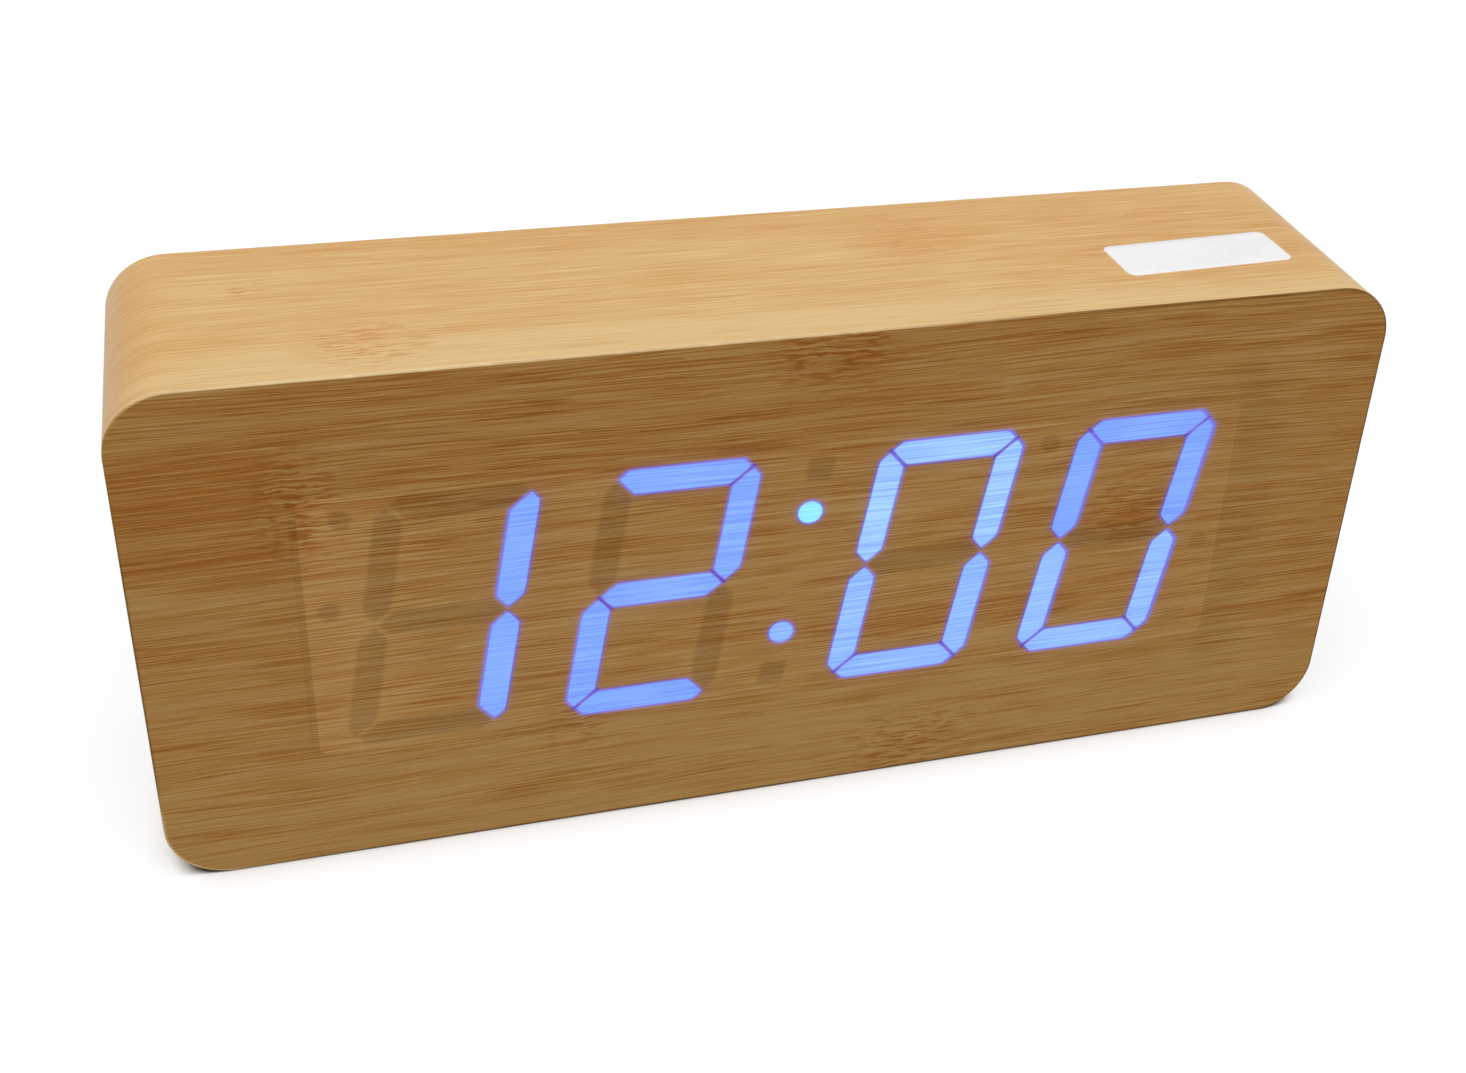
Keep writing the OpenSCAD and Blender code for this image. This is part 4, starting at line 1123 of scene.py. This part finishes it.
def inwardSteps(points):
    steps = []
    for i, p in enumerate(points):
        normals = []
        for a, b in ((points[i - 1], p), (p, points[(i + 1) % len(points)])):
            way = (b - a).normalized()
            normals.append(Vector((-way.y, way.x)))
        spread = max(rounding["leastSpread"], 1 + normals[0].dot(normals[1]))
        steps.append((normals[0] + normals[1]) / spread)
    return steps


def isInside(loops, u, v):
    crossings = 0
    for a, b in (pair for loop in loops for pair in pairs(loop)):
        if (a[1] > v) != (b[1] > v) and u < a[0] + (v - a[1]) / (b[1] - a[1]) * (b[0] - a[0]):
            crossings += 1
    return crossings % 2 == 1


def roomAt(point, loops):
    least = 1.0
    for a, b in (pair for loop in loops for pair in pairs(loop)):
        side = b - a
        t = min(1.0, max(0.0, (point - a).dot(side) / max(side.length_squared, 1e-12)))
        least = min(least, (a + side * t - point).length)
    return least


# Rings of a fillet from a loop's walls onto the flat face, ending in a narrow flat rim
def filletRings(bm, verts, points, widths, level, steps):
    rings = [verts]
    for n in range(1, steps + 2):
        a = math.pi / 2 * min(n, steps) / steps
        share = 1 - math.cos(a) if n <= steps else rounding["holdShare"]
        ring = []
        for p, step, width in zip(points, inwardSteps(points), widths):
            place = p + step * width * share
            ring.append(bm.verts.new((place.y, level - width * (1 - math.sin(a)), place.x)))
        rings.append(ring)
    for vert, width in zip(verts, widths):
        vert.co.y = level - width
    for near, far in zip(rings, rings[1:]):
        for i, j in loopEdges(0, len(near)):
            bm.faces.new((near[i], near[j], far[j], far[i]))
    return rings[-1]


def roundFlatFaces(bm, level, width, steps):
    flat = []
    for face in bm.faces:
        atLevel = all(abs(v.co.y - level) < rounding["weld"] for v in face.verts)
        if atLevel and face.normal.y > rounding["flatNormal"]:
            flat.append(face)
    loops = []
    for verts, walls in boundaryLoops(flat):
        upright = all(abs(f.normal.y) < rounding["uprightNormal"] for f in walls)
        goesDown = all(f.calc_center_median().y < level for f in walls)
        loops.append((verts, upright and goesDown))
    bmesh.ops.delete(bm, geom=flat, context="FACES")
    outlines = [[Vector((v.co.z, v.co.x)) for v in verts] for verts, rounded in loops]
    rims = []
    for k, (verts, rounded) in enumerate(loops):
        if rounded:
            others = outlines[:k] + outlines[k + 1:]
            widths = [min(width, rounding["roomShare"] * roomAt(p, others)) for p in outlines[k]]
            rims.append(filletRings(bm, verts, outlines[k], widths, level, steps))
        else:
            rims.append(verts)
            for a, b in pairs(verts):
                bm.edges.get((a, b)).seam = True
    corners, edges = [], []
    for rim in rims:
        edges += loopEdges(len(corners), len(rim))
        corners += rim
    places = [Vector((v.co.z, v.co.x)) for v in corners]
    outlines = [[(v.co.z, v.co.x) for v in rim] for rim in rims]
    found, _, triangles, origins, _, _ = delaunay_2d_cdt(places, edges, [], 0, 1e-9)
    for triangle in triangles:
        middle = sum((found[i] for i in triangle), Vector((0, 0))) / 3
        if isInside(outlines, middle.x, middle.y):
            bm.faces.new([corners[origins[i][0]] for i in triangle])


def startCopy(node):
    bm = bmesh.new()
    bm.from_mesh(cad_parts[node].data)
    bmesh.ops.remove_doubles(bm, verts=bm.verts, dist=rounding["weld"])
    return bm


def finishCopy(name, bm):
    smoothAngle = math.radians(rounding["smoothAngle"])
    for face in bm.faces:
        face.smooth = True
    for edge in bm.edges:
        edge.smooth = edge.is_manifold and not edge.seam and edge.calc_face_angle() < smoothAngle
    mesh = bpy.data.meshes.new(name)
    bm.to_mesh(mesh)
    bm.free()
    return addObject(name, mesh)


# The edges round the flat rear faces at these levels become small fillets
def roundedCopy(name, node, width, levels, steps):
    bm = startCopy(node)
    for level in levels:
        roundFlatFaces(bm, level * mm, width * mm, steps)
    bmesh.ops.recalc_face_normals(bm, faces=bm.faces)
    return finishCopy(name, bm)


# The outer edges within this depth of the rear end are bevelled
def softened(name, node, width, depth, steps):
    bm = startCopy(node)
    mergeAngle, bevelAngle = (math.radians(rounding[key]) for key in ("mergeAngle", "bevelAngle"))
    bmesh.ops.dissolve_limit(bm, angle_limit=mergeAngle, verts=bm.verts, edges=bm.edges)
    limit = max(v.co.y for v in bm.verts) - depth * mm
    edges = []
    for edge in bm.edges:
        isOuter = all(v.co.y > limit for v in edge.verts)
        if isOuter and edge.is_manifold and edge.calc_face_angle_signed() > bevelAngle:
            edges.append(edge)
    bmesh.ops.bevel(bm, geom=edges, offset=width * mm, segments=steps, profile=0.5, affect="EDGES")
    return finishCopy(name, bm)


# Rear cover, its screws, the battery door, the buttons and the power socket
rearSettings = {
    "plastics": {
        "coverPlastic": twoTone((38, 38, 39), (52, 52, 53), (0.46, 0.62), grit=2200, depth=0.00006),
        "buttonPlastic": twoTone((52, 52, 54), (64, 64, 66), (0.34, 0.48), grit=3600, depth=0.00002,
                                 paint=srgb(206, 206, 202)),
        "socketPlastic": twoTone((20, 20, 21), (30, 30, 31), (0.28, 0.42), grit=3200, depth=0.00002),
    },
    "metals": {
        "blackSteel": twoTone((58, 58, 60), (84, 84, 87), (0.30, 0.46)),
        "nickel": twoTone((196, 193, 186), (222, 219, 212), (0.20, 0.36)),
    },
    "filletSteps": 3,
    "coverEdge": 0.18,
    "trayDepth": 0.5,
    "doorEdge": 0.14,
    "button": (0.14, 1.2, 2),  # width, depth and steps of the bevel
    "signPaint": 0.12,
    # Small pieces: name, node, width, depth and steps of the bevel, finish, slot
    "small": (
        ("powerSocket", "power_socket", 0.25, 0.02, 3, "socketPlastic", "socket_plastic"),
        ("socketPin", "socket_pin", 0.3, 0.02, 3, "nickel", "nickel"),
        ("coverScrews", "cover_screws", 0.10, 0.05, 2, "blackSteel", "black_steel"),
        ("contactPlates", "contact_plates", 0.06, 0.6, 2, "nickel", "nickel"),
    ),
}


def makeRear(s):
    finishes = {name: plasticMaterial(name, look) for name, look in s["plastics"].items()}
    for name, look in s["metals"].items():
        finishes[name] = metalMaterial(name, look)
    coverPlastic = finishes["coverPlastic"]
    levels = (coverHigh.y, coverHigh.y - s["trayDepth"])
    cover = roundedCopy("rearCover", "rear_cover", s["coverEdge"], levels, s["filletSteps"])
    settle(cover, coverPlastic, "case", "cover_plastic", "rear_cover")
    levels = (coverHigh.y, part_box("battery_door")[1].y / mm)
    door = roundedCopy("batteryDoor", "battery_door", s["doorEdge"], levels, s["filletSteps"])
    settle(door, coverPlastic, "battery_door", "cover_plastic", "battery_door")
    for key in ("set", "up", "down"):
        node = key + "_button"
        button = softened(key + "Button", node, *s["button"])
        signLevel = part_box(node)[1].y - s["signPaint"] * mm
        keepNumbers(button, raised=[float(v.co.y > signLevel) for v in button.data.vertices])
        settle(button, finishes["buttonPlastic"], node, "button_plastic", node)
    for name, node, width, depth, steps, finish, slot in s["small"]:
        settle(softened(name, node, width, depth, steps), finishes[finish], "case", slot, node)
    return finishes["nickel"]


nickel = makeRear(rearSettings)
print("rear cover, door, buttons, socket and screws made")


# Cells: a steel can with a nub, in a printed sleeve. Profiles are (along, radius) from the nub's tip
cellLow, cellHigh = boxOf("batteries")
cellPiece = {
    "rows": 4,
    "size": 10.4,
    "steps": 48,
    "smoothAngle": 45.0,
    "can": ((0, 0), (0, 1.5), (0.08, 1.72), (0.28, 1.9), (0.9, 1.9), (0.98, 2.15), (1.02, 3.2), (1.25, 3.4),
            (1.25, 4.1), (1.05, 4.3), (1.05, 4.8), (1.3, 5.0), (44.1, 5.0), (44.35, 4.8), (44.42, 4.5),
            (44.42, 3.6), (44.25, 3.4), (44.25, 0)),
    "sleeve": ((0.95, 4.62), (0.9, 4.8), (0.94, 4.98), (1.05, 5.12), (1.25, 5.2), (3.4, 5.2), (3.5, 5.17),
               (40.9, 5.17), (41.0, 5.2), (44.2, 5.2), (44.38, 5.12), (44.48, 4.98), (44.5, 4.8),
               (44.45, 4.62), (44.2, 4.95), (1.2, 4.95)),
    "firstBand": (3.5, 3.4),
    "lastBand": (40.9, 41.0),
    "green": srgb(38, 104, 62),
    "deep": srgb(26, 84, 50),
    "pale": srgb(206, 208, 200),
    "rough": (0.26, 0.4),
    "coat": 0.4,
}


def lathe(profile, steps, closed, place):
    verts, faces = [], []
    count = len(profile)
    for i in range(steps):
        a = 2 * math.pi * i / steps
        verts += [place(along, radius * math.cos(a), radius * math.sin(a)) for along, radius in profile]
        faces += loopFaces(i * count, (i + 1) % steps * count, count, closed)
    return verts, faces


def mergeDoubles(mesh, angle):
    bm = bmesh.new()
    bm.from_mesh(mesh)
    bmesh.ops.remove_doubles(bm, verts=bm.verts, dist=1e-7)
    bmesh.ops.dissolve_degenerate(bm, dist=1e-8, edges=bm.edges)
    bmesh.ops.recalc_face_normals(bm, faces=bm.faces)
    bm.to_mesh(mesh)
    bm.free()
    shadeSmooth(mesh, angle)


def cellRows(s):
    pitch = (cellHigh.z - cellLow.z - s["size"]) / (s["rows"] - 1)
    middle = (cellLow.y + cellHigh.y) / 2
    for i in range(s["rows"]):
        fromLeft = i % 2 == 0
        yield fromLeft, middle, cellHigh.z - s["size"] / 2 - i * pitch


def makeCells(s, name, profile, closed):
    verts, faces, along = [], [], []
    for fromLeft, y, z in cellRows(s):
        start, way = (cellLow.x, 1) if fromLeft else (cellHigh.x, -1)
        points, quads = lathe(profile, s["steps"], closed, lambda a, v, w: (start + way * a, y + v, z + w))
        faces += [tuple(len(verts) + i for i in quad) for quad in quads]
        verts += points
        along += [a for a, radius in profile] * s["steps"]
    piece = makeObject(name, verts, faces, s["smoothAngle"])
    keepNumbers(piece, along=along)
    mergeDoubles(piece.data, s["smoothAngle"])
    return piece


def sleeveMaterial(name, s):
    place, along = startSurface(name), attribute("along")
    cloud = speckle(stretched(place, (200, 900, 900)), detail=3.0)
    scuff = rescale(speckle(stretched(place, (160, 2600, 2600)), detail=3.0), 0.62, 0.72)
    ends = calc("ADD", rescale(along, *s["firstBand"]), rescale(along, *s["lastBand"]), True)
    colour = tint(rescale(cloud, *firmRange), s["green"], s["deep"])
    colour = tint(ends, colour, s["pale"])
    colour = tint(times(scuff, 0.3), colour, s["pale"])
    return finished(colour=colour, rough=rescale(cloud, *softRange, *s["rough"]), coat=s["coat"],
                    normal=bumped(cloud, 0.00002))


cellSleeves = makeCells(cellPiece, "cellSleeves", cellPiece["sleeve"], True)
settle(cellSleeves, sleeveMaterial("cellSleeve", cellPiece), "case", "cell_sleeve", "batteries")
settle(makeCells(cellPiece, "cellCans", cellPiece["can"], False), nickel, "case", "nickel")


# Conical springs behind the cells' flat ends
springLow, springHigh = boxOf("contact_springs")
springPiece = {
    "turns": 3,
    "base": 3.6,
    "tip": 2.4,
    "wire": 0.6,
    "endShare": 0.6,
    "steps": 90,
    "sides": 10,
    "reach": 3.8,
    "smoothAngle": 60.0,
}


def makeSprings(s):
    verts, faces = [], []
    steps, sides = s["steps"], s["sides"]
    for fromLeft, y, z in cellRows(cellPiece):
        start, way = (springHigh.x, -1) if fromLeft else (springLow.x, 1)
        first = len(verts)
        for i in range(steps + 1):
            t = i / steps
            a = 2 * math.pi * s["turns"] * t
            radius = s["base"] + (s["tip"] - s["base"]) * t
            thick = s["wire"] / 2 * (1.0 if 0 < i < steps else s["endShare"])
            for j in range(sides):
                b = 2 * math.pi * j / sides
                out = radius + thick * math.cos(b)
                rise = s["wire"] / 2 + s["reach"] * t + thick * math.sin(b)
                verts.append((start + way * rise, y + out * math.sin(a), z + out * math.cos(a)))
        last = first + steps * sides
        for row in range(first, last, sides):
            faces += loopFaces(row, row + sides, sides)
        faces += [tuple(range(first, first + sides)), tuple(range(last, last + sides))]
    return makeObject("contactSprings", verts, faces, s["smoothAngle"])


settle(makeSprings(springPiece), nickel, "case", "nickel", "contact_springs")
print("cells and springs made")


# Finishes of the pieces inside, which keep their CAD shapes
insideFinishes = {
    plasticMaterial: {
        "display_housing": twoTone((232, 231, 226), (222, 221, 215), (0.40, 0.55)),
        "unlit_bars indicator_marks": twoTone((188, 190, 188), (174, 176, 174), (0.34, 0.48)),
        "segment_leds": twoTone((236, 228, 192), (226, 214, 168), (0.28, 0.40)),
        "display_header main_header": twoTone((232, 224, 204), (220, 210, 188), (0.42, 0.55)),
        "ribbon_cable": twoTone((176, 176, 178), (160, 160, 163), (0.40, 0.55), cloud=900),
        "clock_chip": twoTone((24, 24, 25), (36, 36, 37), (0.5, 0.65)),
        "resistors": twoTone((26, 26, 27), (42, 42, 43), (0.4, 0.6)),
        "key_switches": twoTone((28, 28, 29), (40, 40, 41), (0.4, 0.55)),
        "buzzer": twoTone((22, 22, 23), (34, 34, 35), (0.38, 0.52)),
        "set_plunger up_plunger down_plunger": twoTone((52, 52, 54), (64, 64, 66), (0.34, 0.48)),
        "capacitor": twoTone((34, 40, 78), (44, 52, 94), (0.28, 0.4)),
        "thermistor": twoTone((128, 70, 34), (146, 84, 44), (0.26, 0.4)),
        "red_lead": twoTone((164, 26, 26), (184, 36, 34), (0.36, 0.5)),
        "black_lead": twoTone((22, 22, 23), (34, 34, 35), (0.36, 0.5)),
    },
    metalMaterial: {
        "crystal": twoTone((188, 188, 186), (214, 214, 212), (0.2, 0.34)),
        "microphone": twoTone((180, 180, 178), (206, 206, 204), (0.26, 0.4)),
        "board_screws display_screws": twoTone((184, 182, 176), (208, 206, 200), (0.24, 0.38)),
    },
    boardMaterial: {
        "display_board main_board": twoTone((26, 84, 52), (34, 98, 60), (0.28, 0.42),
                                            track=srgb(70, 128, 72)),
    },
    fibreMaterial: {
        "case_core": twoTone((150, 112, 74), (176, 138, 96), (0.75, 0.92), fleck=srgb(104, 72, 44)),
    },
    resinMaterial: {
        "lit_bars": twoTone((206, 214, 236), (190, 200, 228), (0.3, 0.45), level=0.9,
                            glow=srgb(126, 158, 255), glowEdge=srgb(110, 130, 250)),
        "colon_dots": twoTone((206, 226, 236), (190, 214, 228), (0.3, 0.45), level=0.9,
                              glow=srgb(140, 232, 255), glowEdge=srgb(120, 190, 252)),
    },
}


def finishInside(node, material):
    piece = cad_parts[node]
    if not piece.material_slots:
        piece.data.materials.append(material)
    for slot in piece.material_slots:
        slot.material = material


for makeFinish, looks in insideFinishes.items():
    for names, look in looks.items():
        for node in names.split():
            finishInside(node, makeFinish(node, look))
print("pieces inside finished")


# Plain studio, lengths in metres: a pale floor, one broad overhead light and a little fill
studio = {
    "floorSize": 8.0,
    "floorColour": (0.51, 0.53, 0.55, 1.0),
    "floorRough": 0.9,
    "floorLift": 0.55,
    "rays": 8,
    "contactReach": 0.0004,
    "contactFade": (0.45, 0.95),
    "contactShadowColour": (0.10, 0.07, 0.045, 1.0),
    "cornerReach": 0.010,
    "cornerFade": (0.41, 0.57),
    "colourFade": (0.36, 0.50),
    "shadowTint": (0.75, 1.0, 1.25),
    "overhead": 2.52,
    "overheadAngle": 75.0,
    "overheadTurn": (18.0, -7.0, 0.0),
    "fill": 0.20,
}


def seenDirectly():
    path = makeNode("LightPath").outputs
    mirrored = calc("MAXIMUM", path["Is Glossy Ray"], path["Is Transmission Ray"])
    return calc("MAXIMUM", path["Is Camera Ray"], mirrored)


def floorMaterial(name, s):
    startMaterial(name)
    near, under = (makeNode("AmbientOcclusion", {"Distance": s[key]}, samples=s["rays"]).outputs["AO"]
                   for key in ("contactReach", "cornerReach"))
    # Painted shadow: a thin dark line at the foot, and the dark under the rounded corners, in the lift and in
    # the floor's colour
    clear = times(rescale(near, *s["contactFade"]), rescale(under, *s["cornerFade"]))
    shown = times(seenDirectly(), s["floorLift"])
    levels = [times(calc("POWER", clear, depth), shown) for depth in s["shadowTint"]]
    lift = makeNode("CombineColor", dict(enumerate(levels))).outputs[0]
    colour = tint(rescale(under, *s["colourFade"]), s["contactShadowColour"], s["floorColour"])
    return finished(colour=colour, rough=s["floorRough"], shine=0.0, glow=lift, glowLevel=1.0)


def makeStudio(s):
    half = s["floorSize"] / 2
    mesh = bpy.data.meshes.new("floor")
    corners = [(-half, -half, 0), (half, -half, 0), (half, half, 0), (-half, half, 0)]
    mesh.from_pydata(corners, [], [(0, 1, 2, 3)])
    mesh.materials.append(floorMaterial("floor", s))
    addObject("floor", mesh)

    lamp = bpy.data.lights.new("overhead", "SUN")
    lamp.energy = s["overhead"]
    lamp.angle = math.radians(s["overheadAngle"])
    addObject("overhead", lamp).rotation_euler = [math.radians(a) for a in s["overheadTurn"]]

    scene.world = bpy.data.worlds.new("studio")
    startTree(scene.world)
    background = bench["tree"].nodes["Background"].inputs
    feed(background["Color"], (1, 1, 1, 1))
    feed(background["Strength"], rescale(seenDirectly(), 0, 1, s["fill"], 1.0, "LINEAR"))


makeStudio(studio)
scene.view_settings.view_transform = "Standard"
print("studio made")
